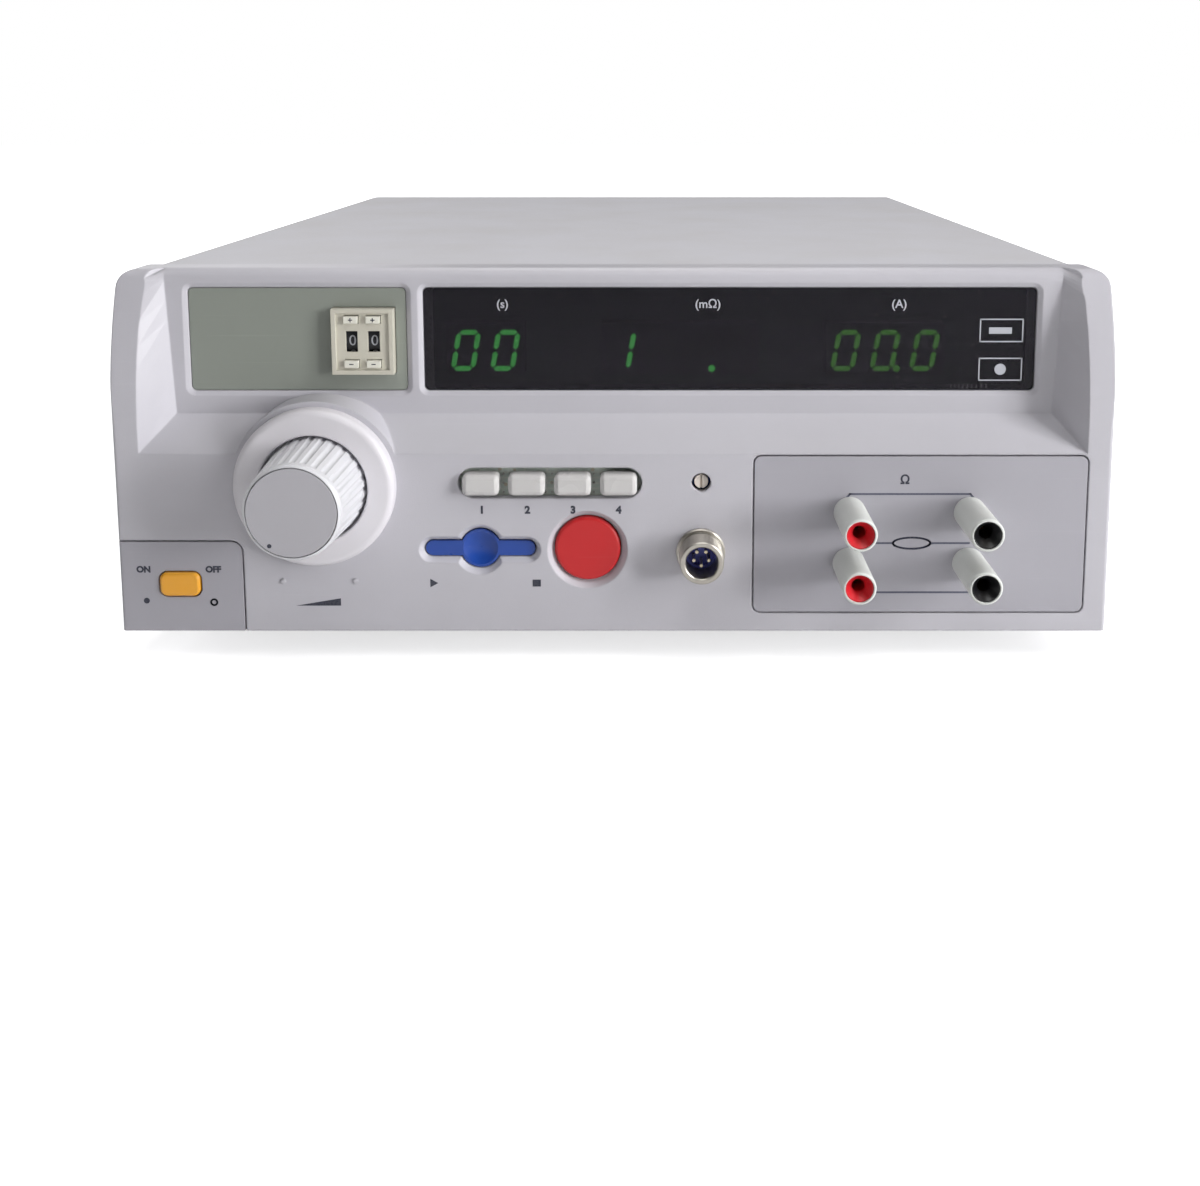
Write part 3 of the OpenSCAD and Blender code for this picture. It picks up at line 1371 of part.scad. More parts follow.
// Wire guard: four rings on two crossing wires, with an eye at each corner
module fan_guard() placed() color([0.75, 0.75, 0.76]) facing(fan_x, fan_z, rear_face) mirror([0, 0, 1]) {
    wire = 1;
    eye_r = 4.2;
    eye_t = 1.6;
    reach = fan_hole * sqrt(2) - 3;
    for (part = [0.3, 0.53, 0.76, 1]) translate([0, 0, 2.6 * wire])
        rotate_extrude($fn = 64) translate([part * duct_r, 0]) circle(r = wire, $fn = 16);
    for (a = [45, 135]) rotate([0, 0, a]) translate([-reach, 0, wire]) rotate([0, 90, 0])
        cylinder(r = wire, h = 2 * reach, $fn = 16);
    fan_corners() difference() {
        cylinder(r = eye_r, h = eye_t);
        translate([0, 0, -over]) cylinder(r = fan_screw_r, h = eye_t + 2 * over);
    }
}

// Mains inlet: flanged socket with three blades
module mains_inlet() placed() color([0.09, 0.09, 0.10]) {
    flange_t = 3;
    depth = 20;
    cavity = [22, 15];
    cavity_d = 16;
    hole_dx = 20;
    hole_r = 1.8;
    blade = [2, 4];
    blade_in = 5;
    front = rear_face + flange_t;
    difference() {
        union() {
            plate(rear_y - depth, rear_face + eps) translate([inlet_x, inlet_z])
                square(inlet_body, center = true);
            plate(rear_face, front) translate([inlet_x, inlet_z])
                polygon(round_rect(inlet_flange[0], inlet_flange[1], 5));
        }
        plate(front - cavity_d, front + over) translate([inlet_x, inlet_z])
            polygon(round_rect(cavity[0], cavity[1], 3));
        for (s = [-1, 1]) bar_y(inlet_x + s * hole_dx, inlet_z, hole_r, rear_face - over, front + over);
    }
    for (p = [[-7, -2], [0, 2], [7, -2]]) plate(front - cavity_d - over, front - blade_in)
        translate([inlet_x + p[0], inlet_z + p[1]]) square(blade, center = true);
}

// Fuse holder: body through the panel, flange and a slotted cap
module fuse_holder() placed() color([0.10, 0.10, 0.11]) {
    depth = 20;
    flange = [8, 2.5];
    cap = [6, 9];
    slot = [10, 1.2, 1];
    bar_y(fuse_x, inlet_z, fuse_r, rear_y - depth, rear_face + eps);
    bar_y(fuse_x, inlet_z, flange[0], rear_face, rear_face + flange[1]);
    difference() {
        bar_y(fuse_x, inlet_z, cap[0], rear_face + flange[1] - eps, rear_face + cap[1]);
        translate([fuse_x - slot[0] / 2, rear_face + cap[1] - slot[2], inlet_z - slot[1] / 2])
            cube([slot[0], slot[2] + over, slot[1]]);
    }
}

// Ground post: threaded stud with a nut on each side of the panel and a thumb nut
module ground_post() placed() color([0.80, 0.70, 0.42]) {
    tail = 8;
    hex_r = 6.2;
    thumb_r = 7.4;
    thumb_y = 4;
    thumb_t = 5;
    bar_y(post_x, inlet_z, post_r, rear_y - tail, rear_face + post_out);
    facing(post_x, inlet_z, rear_face + nut_t) cylinder(r = hex_r, h = nut_t, $fn = 6);
    facing(post_x, inlet_z, rear_y) cylinder(r = hex_r, h = nut_t, $fn = 6);
    bar_y(post_x, inlet_z, thumb_r, rear_face + thumb_y, rear_face + thumb_y + thumb_t);
}

front_bezel();
display_window();
name_plate();
power_plate();
terminal_plate();
dial_ring();
knob_grip();
knob_cap();
variac_shaft();
variac_bracket();
variac_coil();
variac_brush();
start_button();
start_switch();
reset_button();
reset_switch();
mode_button_1();
mode_button_2();
mode_button_3();
mode_button_4();
mode_switches();
connector_shell();
connector_insert();
connector_pins();
connector_nut();
trimmer_shaft();
trimmer_body();
terminal_sleeves();
terminal_liners_red();
terminal_liners_black();
terminal_contacts();
terminal_nuts();
power_button();
power_switch();
pushwheel_housing();
number_drum_tens();
number_drum_units();
tens_up_key();
tens_down_key();
units_up_key();
units_down_key();
display_board();
display_digits();
control_board();
chassis_base();
top_cover();
rear_panel();
feet();
case_screws();
transformer_core();
transformer_coil();
main_board();
board_parts();
current_shunt();
fan_frame();
fan_impeller();
fan_guard();
mains_inlet();
fuse_holder();
ground_post();
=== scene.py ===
"""Looks of a bench ground resistance tester: finishes, printed marks, fine pieces, light and camera."""
import json
import math

import bmesh
import bpy
from mathutils import Matrix, Vector


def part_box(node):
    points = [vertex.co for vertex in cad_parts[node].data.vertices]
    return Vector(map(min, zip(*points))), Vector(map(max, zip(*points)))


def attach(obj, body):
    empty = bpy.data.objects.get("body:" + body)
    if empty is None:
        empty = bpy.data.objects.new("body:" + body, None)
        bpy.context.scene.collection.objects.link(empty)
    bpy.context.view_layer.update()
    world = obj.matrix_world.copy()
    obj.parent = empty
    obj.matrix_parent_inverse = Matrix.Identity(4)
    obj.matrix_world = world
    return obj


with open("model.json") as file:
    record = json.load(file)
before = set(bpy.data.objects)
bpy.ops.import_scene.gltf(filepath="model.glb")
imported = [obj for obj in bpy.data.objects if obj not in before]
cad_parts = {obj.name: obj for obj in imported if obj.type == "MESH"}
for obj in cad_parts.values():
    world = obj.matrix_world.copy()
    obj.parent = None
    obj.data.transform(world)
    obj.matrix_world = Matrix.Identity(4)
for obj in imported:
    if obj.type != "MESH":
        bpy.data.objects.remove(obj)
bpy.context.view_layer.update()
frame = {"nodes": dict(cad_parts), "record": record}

MM = 0.001

# Places on the front, taken from the solids: x from the middle, z above the lower edge of the front
PANEL_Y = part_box("terminal_plate")[0].y
BASE_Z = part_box("front_bezel")[0].z
ROW_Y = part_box("display_window")[0].y


def spot(x, z, y=PANEL_Y):
    """Point in metres from millimetres across and up the front."""
    return Vector((x * MM, y, BASE_Z + z * MM))


def middle(node):
    """Middle of a solid's box."""
    low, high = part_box(node)
    return (low + high) / 2


# Shader trees


def paint(red, green, blue):
    """Linear colour from display values of 0 to 255."""
    def linear(value):
        value /= 255
        return value / 12.92 if value <= 0.04045 else ((value + 0.055) / 1.055) ** 2.4
    return (linear(red), linear(green), linear(blue), 1.0)


def shade(colour, factor):
    """The same hue, darker or lighter."""
    return tuple(min(1.0, c * factor) for c in colour[:3]) + (1.0,)


def fill(node, inputs):
    """Sets a node's inputs, each to a plain value or a link from another node's output."""
    for key, value in inputs.items():
        if isinstance(value, bpy.types.NodeSocket):
            node.id_data.links.new(value, node.inputs[key])
        else:
            node.inputs[key].default_value = value
    return node


def add(tree, kind, inputs=None, **settings):
    """Adds a shader node with its settings and inputs."""
    node = tree.nodes.new("ShaderNode" + kind)
    for key, value in settings.items():
        setattr(node, key, value)
    return fill(node, inputs or {})


def maths(tree, operation, first, second=0.0, clamp=False):
    return add(tree, "Math", {0: first, 1: second}, operation=operation, use_clamp=clamp).outputs[0]


def spread(tree, value, low, high, to_low=0.0, to_high=1.0):
    """Maps low..high to to_low..to_high and stops at both ends."""
    inputs = {"Value": value, "From Min": low, "From Max": high, "To Min": to_low, "To Max": to_high}
    return add(tree, "MapRange", inputs).outputs["Result"]


def blend(tree, part, first, second):
    """Mixes two colours, each a plain colour or a socket."""
    node = add(tree, "Mix", data_type="RGBA")
    return fill(node, {0: part, 6: first, 7: second}).outputs[2]


def place(tree, scale=(1, 1, 1), rotation=(0, 0, 0)):
    """Object coordinates, turned and stretched."""
    point = add(tree, "TexCoord").outputs["Object"]
    inputs = {"Vector": point, "Rotation": rotation, "Scale": scale}
    return add(tree, "Mapping", inputs).outputs["Vector"]


def noise(tree, point, scale, detail=3.0, roughness=0.55):
    inputs = {"Vector": point, "Scale": scale, "Detail": detail, "Roughness": roughness}
    return add(tree, "TexNoise", inputs).outputs["Fac"]


def new_group(name, inputs, outputs):
    """Empty shader group with float or vector inputs and the named outputs."""
    tree = bpy.data.node_groups.new(name, "ShaderNodeTree")
    for label, value in inputs.items():
        kind = "NodeSocketVector" if isinstance(value, tuple) else "NodeSocketFloat"
        tree.interface.new_socket(label, in_out="INPUT", socket_type=kind).default_value = value
    for label, kind in outputs.items():
        tree.interface.new_socket(label, in_out="OUTPUT", socket_type="NodeSocket" + kind)
    return tree, tree.nodes.new("NodeGroupInput").outputs, tree.nodes.new("NodeGroupOutput")


def worn_edge_group():
    """Rounds sharp edges in the shading and finds where hands and cloths have rubbed them."""
    tree, given, result = new_group(
        "worn edges", {"Radius": 0.0006, "Wear": 0.5}, {"Edge": "Float", "Normal": "Vector"})
    rounded = add(tree, "Bevel", {"Radius": given["Radius"]}, samples=4).outputs["Normal"]
    flat = add(tree, "NewGeometry").outputs["Normal"]
    alike = add(tree, "VectorMath", {0: rounded, 1: flat}, operation="DOT_PRODUCT").outputs["Value"]
    edge = spread(tree, alike, 0.99, 0.80)
    patches = spread(tree, noise(tree, place(tree), 90.0), 0.35, 0.62, 0.25, 1.0)
    worn = maths(tree, "MULTIPLY", maths(tree, "MULTIPLY", edge, patches), given["Wear"], clamp=True)
    fill(result, {"Edge": worn, "Normal": rounded})
    return tree


def moulded_grain_group():
    """Fine spark-eroded skin of a moulding, and the slow unevenness of its colour."""
    tree, given, result = new_group(
        "moulded grain", {"Scale": 2600.0}, {"Height": "Float", "Unevenness": "Float"})
    point = place(tree)
    cells = add(tree, "TexVoronoi", {"Vector": point, "Scale": given["Scale"]}).outputs["Distance"]
    grit = noise(tree, point, given["Scale"], 2.0)
    fill(result, {
        "Height": maths(tree, "ADD", maths(tree, "MULTIPLY", cells, 0.6), grit),
        "Unevenness": noise(tree, point, 14.0, 4.0),
    })
    return tree


def settled_dust_group():
    """Dust on faces that look up, thicker in soft patches."""
    tree, given, result = new_group("settled dust", {"Amount": 0.2}, {"Dust": "Float"})
    normal = add(tree, "NewGeometry").outputs["Normal"]
    up = add(tree, "SeparateXYZ", {0: normal}).outputs["Z"]
    lying = spread(tree, up, 0.55, 0.98)
    patches = spread(tree, noise(tree, place(tree), 22.0, 5.0, 0.62), 0.38, 0.70)
    dust = maths(tree, "MULTIPLY", maths(tree, "MULTIPLY", lying, patches), given["Amount"])
    fill(result, {"Dust": dust})
    return tree


def hairline_group():
    """Thin scratches in two directions."""
    tree, given, result = new_group("hairlines", {"Amount": 0.3}, {"Scratch": "Float"})
    found = []
    for turn, stretch in ((0.35, (14, 900, 900)), (-0.6, (11, 1100, 1100))):
        streaks = noise(tree, place(tree, stretch, rotation=(0.3, turn, turn)), 1.0, 1.0)
        found.append(spread(tree, streaks, 0.70, 0.78))
    both = maths(tree, "MAXIMUM", *found)
    fill(result, {"Scratch": maths(tree, "MULTIPLY", both, given["Amount"])})
    return tree


def turned_ring_group():
    """Tool marks left by turning, as rings round an axis that runs from front to rear."""
    tree, given, result = new_group(
        "turned rings", {"Axis": (0.0, 0.0, 0.0), "Rings": 5200.0}, {"Height": "Float"})
    point = add(tree, "TexCoord").outputs["Object"]
    offset = add(tree, "VectorMath", {0: point, 1: given["Axis"]}, operation="SUBTRACT").outputs[0]
    level = add(tree, "VectorMath", {0: offset, 1: (1, 0, 1)}, operation="MULTIPLY").outputs[0]
    radius = add(tree, "VectorMath", {0: level}, operation="LENGTH").outputs["Value"]
    steps = add(tree, "CombineXYZ", {0: maths(tree, "MULTIPLY", radius, given["Rings"])}).outputs[0]
    fill(result, {"Height": noise(tree, steps, 1.0, 3.0)})
    return tree


WORN_EDGES = worn_edge_group()
MOULDED_GRAIN = moulded_grain_group()
SETTLED_DUST = settled_dust_group()
HAIRLINES = hairline_group()
TURNED_RINGS = turned_ring_group()


def use(tree, group, **inputs):
    """Places a group in a material and returns its outputs."""
    node = tree.nodes.new("ShaderNodeGroup")
    node.node_tree = group
    return fill(node, inputs).outputs


def worn_edges(tree, radius, wear):
    return use(tree, WORN_EDGES, Radius=radius, Wear=wear)


def new_finish(name):
    """Material with an empty Principled shader."""
    material = bpy.data.materials.new(name)
    material.use_nodes = True
    return material, material.node_tree, material.node_tree.nodes["Principled BSDF"]


def bump(tree, height, distance, normal):
    inputs = {"Strength": 1.0, "Distance": distance, "Height": height, "Normal": normal}
    return add(tree, "Bump", inputs).outputs["Normal"]


DUST_COLOUR = paint(176, 170, 160)


def moulded(name, colour, roughness=0.42, grain=2600.0, depth=0.00003, edge=0.0006, wear=0.35,
            dust=0.15, tint=0.06, scratch=0.15):
    """Moulded plastic: grained skin, uneven tint, rubbed edges, hairlines and a little dust."""
    material, tree, shader = new_finish(name)
    skin = use(tree, MOULDED_GRAIN, Scale=grain)
    edges = worn_edges(tree, edge, wear)
    lines = use(tree, HAIRLINES, Amount=scratch)["Scratch"]
    lying = use(tree, SETTLED_DUST, Amount=dust)["Dust"]
    darker = shade(colour, 1 - tint)
    lighter = tuple(c + (1 - c) * 0.35 for c in colour[:3]) + (1.0,)
    uneven = spread(tree, skin["Unevenness"], 0.3, 0.7)
    body = blend(tree, uneven, darker, colour)
    rubbed = blend(tree, maths(tree, "MULTIPLY", edges["Edge"], 0.45), body, lighter)
    scratched = blend(tree, maths(tree, "MULTIPLY", lines, 0.35), rubbed, lighter)
    dusty = blend(tree, lying, scratched, DUST_COLOUR)
    rough = spread(tree, skin["Unevenness"], 0.3, 0.7, roughness - 0.05, roughness + 0.05)
    polished = maths(tree, "SUBTRACT", rough, maths(tree, "MULTIPLY", edges["Edge"], 0.12))
    fill(shader, {
        "Base Color": dusty,
        "Roughness": maths(tree, "ADD", polished, maths(tree, "MULTIPLY", lying, 0.3)),
        "Normal": bump(tree, skin["Height"], depth, edges["Normal"]),
    })
    return material


def glossy(name, colour, roughness, edge, **more):
    """Moulded plastic with a polished skin."""
    return moulded(name, colour, roughness, depth=0.00001, edge=edge, **more)


def coated_sheet(name, colour, roughness=0.45):
    """Powder paint on sheet metal: orange peel, fine speckle, rubbed edges and dust on top."""
    material, tree, shader = new_finish(name)
    point = place(tree)
    peel = noise(tree, point, 900.0, 2.0)
    speckle = noise(tree, point, 3800.0, 1.0)
    clouds = noise(tree, point, 5.0, 4.0)
    edges = worn_edges(tree, 0.0008, 0.5)
    lying = use(tree, SETTLED_DUST, Amount=0.16)["Dust"]
    lines = use(tree, HAIRLINES, Amount=0.12)["Scratch"]
    darker = shade(colour, 0.93)
    body = blend(tree, spread(tree, speckle, 0.35, 0.65), darker, colour)
    cloudy = blend(tree, spread(tree, clouds, 0.35, 0.7, 0.0, 0.35), body, darker)
    bare = blend(tree, maths(tree, "MULTIPLY", edges["Edge"], 0.3), cloudy, paint(226, 226, 228))
    scratched = blend(tree, maths(tree, "MULTIPLY", lines, 0.3), bare, paint(216, 216, 220))
    fill(shader, {
        "Base Color": blend(tree, lying, scratched, DUST_COLOUR),
        "Roughness": spread(tree, peel, 0.3, 0.7, roughness - 0.06, roughness + 0.06),
        "Normal": bump(tree, peel, 0.00004, edges["Normal"]),
        "Specular IOR Level": 0.1,
    })
    return material


def bare_metal(name, colour, roughness, axis=None, brushed=(40, 40, 2200), edge=0.0003):
    """Metal with turned rings round an axis, or with a brushed direction, and handled edges."""
    material, tree, shader = new_finish(name)
    if axis is None:
        marks = noise(tree, place(tree, brushed), 1.0, 2.0)
    else:
        marks = use(tree, TURNED_RINGS, Axis=tuple(axis))["Height"]
    stains = noise(tree, place(tree), 60.0, 5.0, 0.65)
    edges = worn_edges(tree, edge, 0.7)
    lines = use(tree, HAIRLINES, Amount=0.4)["Scratch"]
    dull = shade(colour, 0.72)
    body = blend(tree, spread(tree, stains, 0.40, 0.72, 0.0, 0.6), colour, dull)
    bright = blend(tree, edges["Edge"], body, shade(colour, 1.25))
    rough = maths(tree, "ADD", spread(tree, marks, 0.3, 0.7, roughness - 0.06, roughness + 0.08),
                  maths(tree, "MULTIPLY", lines, 0.2))
    fill(shader, {
        "Metallic": 1.0,
        "Base Color": bright,
        "Roughness": maths(tree, "ADD", rough, spread(tree, stains, 0.45, 0.75, 0.0, 0.12)),
        "Normal": bump(tree, marks, 0.00001, edges["Normal"]),
    })
    return material


def galvanised(name):
    """Zinc-plated sheet with a faint spangle."""
    material, tree, shader = new_finish(name)
    point = place(tree)
    spangle = add(tree, "TexVoronoi", {"Vector": point, "Scale": 140.0}).outputs["Color"]
    crystal = add(tree, "SeparateColor", {0: spangle}).outputs[0]
    edges = worn_edges(tree, 0.0004, 0.4)
    stains = noise(tree, point, 18.0, 5.0)
    fill(shader, {
        "Metallic": 1.0,
        "Base Color": blend(tree, crystal, paint(170, 173, 178), paint(204, 206, 209)),
        "Roughness": maths(tree, "ADD", spread(tree, crystal, 0.0, 1.0, 0.30, 0.42),
                           spread(tree, stains, 0.45, 0.7, 0.0, 0.14)),
        "Normal": bump(tree, stains, 0.0002, edges["Normal"]),
    })
    return material


def smoked_window(name):
    """Smoked acrylic that the digits shine through, with wiping marks and hairlines on its face."""
    material, tree, shader = new_finish(name)
    wiped = noise(tree, place(tree, (30, 30, 260), rotation=(0, 0.5, 0)), 1.0, 3.0)
    lines = use(tree, HAIRLINES, Amount=0.5)["Scratch"]
    edges = worn_edges(tree, 0.0003, 0.3)
    smoke = blend(tree, spread(tree, wiped, 0.3, 0.7), paint(21, 18, 26), paint(31, 28, 37))
    fill(shader, {
        "Base Color": blend(tree, maths(tree, "MULTIPLY", lines, 0.2), smoke, paint(120, 120, 126)),
        "Roughness": maths(tree, "ADD", spread(tree, wiped, 0.35, 0.7, 0.10, 0.2),
                           maths(tree, "MULTIPLY", lines, 0.2)),
        "Normal": edges["Normal"],
        "Alpha": 0.72,
        "Specular IOR Level": 0.28,
        "IOR": 1.49,
    })
    return material


def printed_film(name, colour):
    """Thin printed polyester: fine dot screen, faint sheen and a slow change of tone."""
    material, tree, shader = new_finish(name)
    point = place(tree)
    dots = add(tree, "TexVoronoi", {"Vector": point, "Scale": 2400.0, "Randomness": 0.0}).outputs["Distance"]
    tone = noise(tree, place(tree, (6, 6, 14)), 1.0, 3.0)
    edges = worn_edges(tree, 0.0003, 0.5)
    lines = use(tree, HAIRLINES, Amount=0.05)["Scratch"]
    darker = shade(colour, 0.90)
    body = blend(tree, spread(tree, dots, 0.2, 0.5), darker, colour)
    toned = blend(tree, spread(tree, tone, 0.35, 0.65, 0.0, 0.5), body, darker)
    fill(shader, {
        "Base Color": blend(tree, maths(tree, "ADD", lines, edges["Edge"]), toned, paint(196, 200, 192)),
        "Roughness": spread(tree, tone, 0.3, 0.7, 0.34, 0.46),
        "Normal": bump(tree, dots, 0.000008, edges["Normal"]),
    })
    return material


def ink(name, colour, cover=0.95):
    """Screen-printed ink, a little patchy."""
    material, tree, shader = new_finish(name)
    patchy = noise(tree, place(tree), 1500.0, 3.0)
    thin = tuple(c + (0.5 - c) * (1 - cover) for c in colour[:3]) + (1.0,)
    fill(shader, {
        "Base Color": blend(tree, spread(tree, patchy, 0.40, 0.62), thin, colour),
        "Roughness": spread(tree, patchy, 0.3, 0.7, 0.45, 0.62),
    })
    return material


def lamp_segment(name, colour, strength):
    """Light-emitting segment whose glow varies a little at random from place to place."""
    material, tree, shader = new_finish(name)
    flicker = noise(tree, place(tree), 700.0, 2.0)
    glow = blend(tree, spread(tree, flicker, 0.3, 0.7), shade(colour, 0.75), colour)
    fill(shader, {
        "Base Color": blend(tree, flicker, paint(40, 60, 40), paint(56, 74, 54)),
        "Roughness": spread(tree, flicker, 0.3, 0.7, 0.35, 0.5),
        "Emission Color": glow,
        "Emission Strength": strength,
    })
    return material


def circuit_board(name, mask_colour, track_colour):
    """Solder mask over copper tracks, with bare pads."""
    material, tree, shader = new_finish(name)
    point = place(tree)
    tracks = add(tree, "TexBrick", {
        "Vector": place(tree, (160, 160, 160), rotation=(math.pi / 2, 0, 0)), "Scale": 1.0,
        "Mortar Size": 0.06, "Brick Width": 1.3, "Row Height": 0.33,
    }).outputs["Fac"]
    pads = add(tree, "TexVoronoi", {"Vector": point, "Scale": 210.0}).outputs["Distance"]
    bare = spread(tree, pads, 0.16, 0.12)
    mask = blend(tree, tracks, mask_colour, track_colour)
    edges = worn_edges(tree, 0.0002, 0.4)
    fill(shader, {
        "Base Color": blend(tree, bare, mask, paint(196, 190, 170)),
        "Roughness": spread(tree, noise(tree, point, 400.0), 0.3, 0.7, 0.28, 0.44),
        "Normal": bump(tree, maths(tree, "ADD", tracks, bare), 0.00004, edges["Normal"]),
    })
    return material


def wound_wire(name, colour, stretch, rotation=(0, 0, 0)):
    """Rows of lacquered copper wire, with painted shade in the valleys between turns and darker tarnish in
    patches.
    """
    material, tree, shader = new_finish(name)
    wave = add(tree, "TexWave", {
        "Vector": place(tree, stretch, rotation=rotation), "Scale": 1.0, "Distortion": 0.6, "Detail": 1.0,
    }, wave_profile="SIN").outputs["Fac"]
    stains = noise(tree, place(tree), 45.0, 4.0)
    dark = shade(colour, 0.35)
    # Painted shade: the wave darkens the valleys between turns of wire.
    body = blend(tree, wave, dark, colour)
    edges = worn_edges(tree, 0.0005, 0.3)
    fill(shader, {
        "Metallic": 0.8,
        "Base Color": blend(tree, spread(tree, stains, 0.4, 0.7, 0.0, 0.4), body, dark),
        "Roughness": spread(tree, stains, 0.3, 0.7, 0.25, 0.42),
        "Normal": bump(tree, wave, 0.0004, edges["Normal"]),
    })
    return material


def stacked_steel(name):
    """Edges of varnished sheets in a transformer core."""
    material, tree, shader = new_finish(name)
    sheets = noise(tree, place(tree, (4, 1900, 4)), 1.0, 1.0)
    rust = noise(tree, place(tree), 35.0, 6.0, 0.68)
    body = blend(tree, spread(tree, sheets, 0.35, 0.65), paint(70, 72, 76), paint(132, 133, 137))
    edges = worn_edges(tree, 0.0004, 0.5)
    fill(shader, {
        "Metallic": 0.7,
        "Base Color": blend(tree, spread(tree, rust, 0.62, 0.74, 0.0, 0.7), body, paint(116, 74, 48)),
        "Roughness": spread(tree, rust, 0.4, 0.7, 0.38, 0.62),
        "Normal": bump(tree, sheets, 0.0001, edges["Normal"]),
    })
    return material


def foot_rubber(name):
    """Matt rubber with a dusty bloom."""
    material, tree, shader = new_finish(name)
    bloom = noise(tree, place(tree), 160.0, 5.0, 0.6)
    pores = noise(tree, place(tree), 2200.0, 2.0)
    edges = worn_edges(tree, 0.0008, 0.6)
    body = blend(tree, spread(tree, bloom, 0.4, 0.7), paint(34, 34, 36), paint(62, 61, 60))
    fill(shader, {
        "Base Color": blend(tree, maths(tree, "MULTIPLY", edges["Edge"], 0.5), body, paint(98, 96, 94)),
        "Roughness": spread(tree, bloom, 0.3, 0.7, 0.72, 0.9),
        "Normal": bump(tree, pores, 0.00006, edges["Normal"]),
    })
    return material


# Finishes of the solids

CASE_GREY = paint(197, 195, 202)
bezel_plastic = moulded("bezel plastic", CASE_GREY, roughness=0.40, edge=0.0009, wear=0.4, dust=0.12)
inset_plastic = moulded("inset plate plastic", paint(175, 173, 181), roughness=0.46, grain=3200.0,
                        edge=0.0004)
ring_plastic = moulded("dial ring plastic", paint(223, 220, 225), roughness=0.33, depth=0.000015, edge=0.0005)
knob_plastic = glossy("knob plastic", paint(218, 218, 222), 0.36, 0.0004, wear=0.2)
cap_plastic = moulded("knob cap plastic", paint(184, 182, 188), roughness=0.38, grain=3600.0, edge=0.0003)
blue_cap = glossy("blue cap", paint(33, 73, 162), 0.30, 0.0004, wear=0.5)
red_cap = moulded("red cap", paint(204, 32, 36), roughness=0.38, grain=1500.0, depth=0.00002, edge=0.0004)
white_caps = glossy("white caps", paint(208, 206, 205), 0.28, 0.0004)
orange_cap = glossy("orange cap", paint(250, 176, 50), 0.26, 0.0004)
sleeve_plastic = glossy("sleeve plastic", paint(224, 226, 222), 0.42, 0.0003)
liner_red = glossy("red liner", paint(206, 34, 44), 0.30, 0.0002)
liner_black = glossy("black liner", paint(24, 24, 27), 0.30, 0.0002, tint=0.3)
cream_plastic = glossy("cream plastic", paint(208, 204, 190), 0.36, 0.0003)
key_plastic = glossy("key plastic", paint(234, 232, 220), 0.30, 0.0003)
ivory_plastic = moulded("ivory plastic", paint(224, 214, 204), roughness=0.40, edge=0.0002)
blue_insulator = moulded("blue insulator", paint(92, 100, 196), roughness=0.38, edge=0.0002)
black_body = moulded("black switch plastic", paint(46, 46, 50), roughness=0.45, edge=0.0003, tint=0.2)
drum_plastic = moulded("drum plastic", paint(42, 43, 50), roughness=0.5, edge=0.0002, tint=0.2)
digit_body = moulded("digit block plastic", paint(26, 30, 27), roughness=0.35, edge=0.0003, tint=0.3)
blue_body = moulded("blue trimmer plastic", paint(58, 84, 150), roughness=0.35, edge=0.0002)
part_plastic = moulded("component plastic", paint(58, 66, 82), roughness=0.40, edge=0.0004, tint=0.25)
fan_plastic = moulded("fan plastic", paint(30, 30, 33), roughness=0.48, edge=0.0004, tint=0.25)
inlet_plastic = moulded("inlet plastic", paint(27, 27, 30), roughness=0.42, edge=0.0004, tint=0.25)
cover_paint = coated_sheet("cover paint", paint(206, 205, 210), roughness=0.65)
rear_paint = coated_sheet("rear panel paint", paint(196, 195, 201), roughness=0.55)
shaft_steel = bare_metal("shaft steel", paint(196, 196, 192), 0.28, middle("variac_shaft"))
bracket_steel = bare_metal("bracket steel", paint(150, 152, 156), 0.38)
arm_metal = bare_metal("brush arm metal", paint(176, 172, 150), 0.40)
connector_nickel = bare_metal("connector nickel", paint(198, 193, 184), 0.34, middle("connector_shell"))
nut_nickel = bare_metal("nut nickel", paint(196, 196, 190), 0.30)
contact_brass = bare_metal("contact brass", paint(206, 176, 104), 0.26)
pin_gold = bare_metal("pin plating", paint(206, 196, 170), 0.24)
guard_wire = bare_metal("guard wire plating", paint(200, 201, 204), 0.22)
screw_nickel = bare_metal("screw nickel", paint(184, 184, 188), 0.26)
chassis_zinc = galvanised("chassis zinc")
window_acrylic = smoked_window("window acrylic")
name_film = printed_film("name plate film", paint(144, 149, 141))
board_green = circuit_board("board green", paint(46, 104, 66), paint(70, 138, 84))
# The control board's mask is lifted from grey-green to near white. This is painted light, standing in for
# light that hardly reaches the board behind the mode-button slot.
board_painted_light = circuit_board("board with painted light", paint(206, 216, 206), paint(218, 224, 214))
ring_winding = wound_wire("ring winding", paint(196, 116, 62), (1400, 1400, 1400))
core_winding = wound_wire("core winding", paint(186, 112, 60), (10, 10, 1500), (0, math.pi / 2, 0))
core_steel = stacked_steel("core steel")
rubber = foot_rubber("foot rubber")
dark_ink = ink("dark ink", paint(46, 48, 64))
line_ink = ink("line ink", paint(86, 88, 106))
white_ink = ink("white ink", paint(186, 188, 196))
lit_green = lamp_segment("lit segment", paint(92, 222, 104), 3.0)
lit_dim = lamp_segment("dim segment", paint(112, 206, 76), 1.8)
# Unlit segments keep a faint emission of strength 0.02. This is a painted glow, though these segments are
# off.
unlit = lamp_segment("unlit segment", paint(30, 44, 30), 0.02)

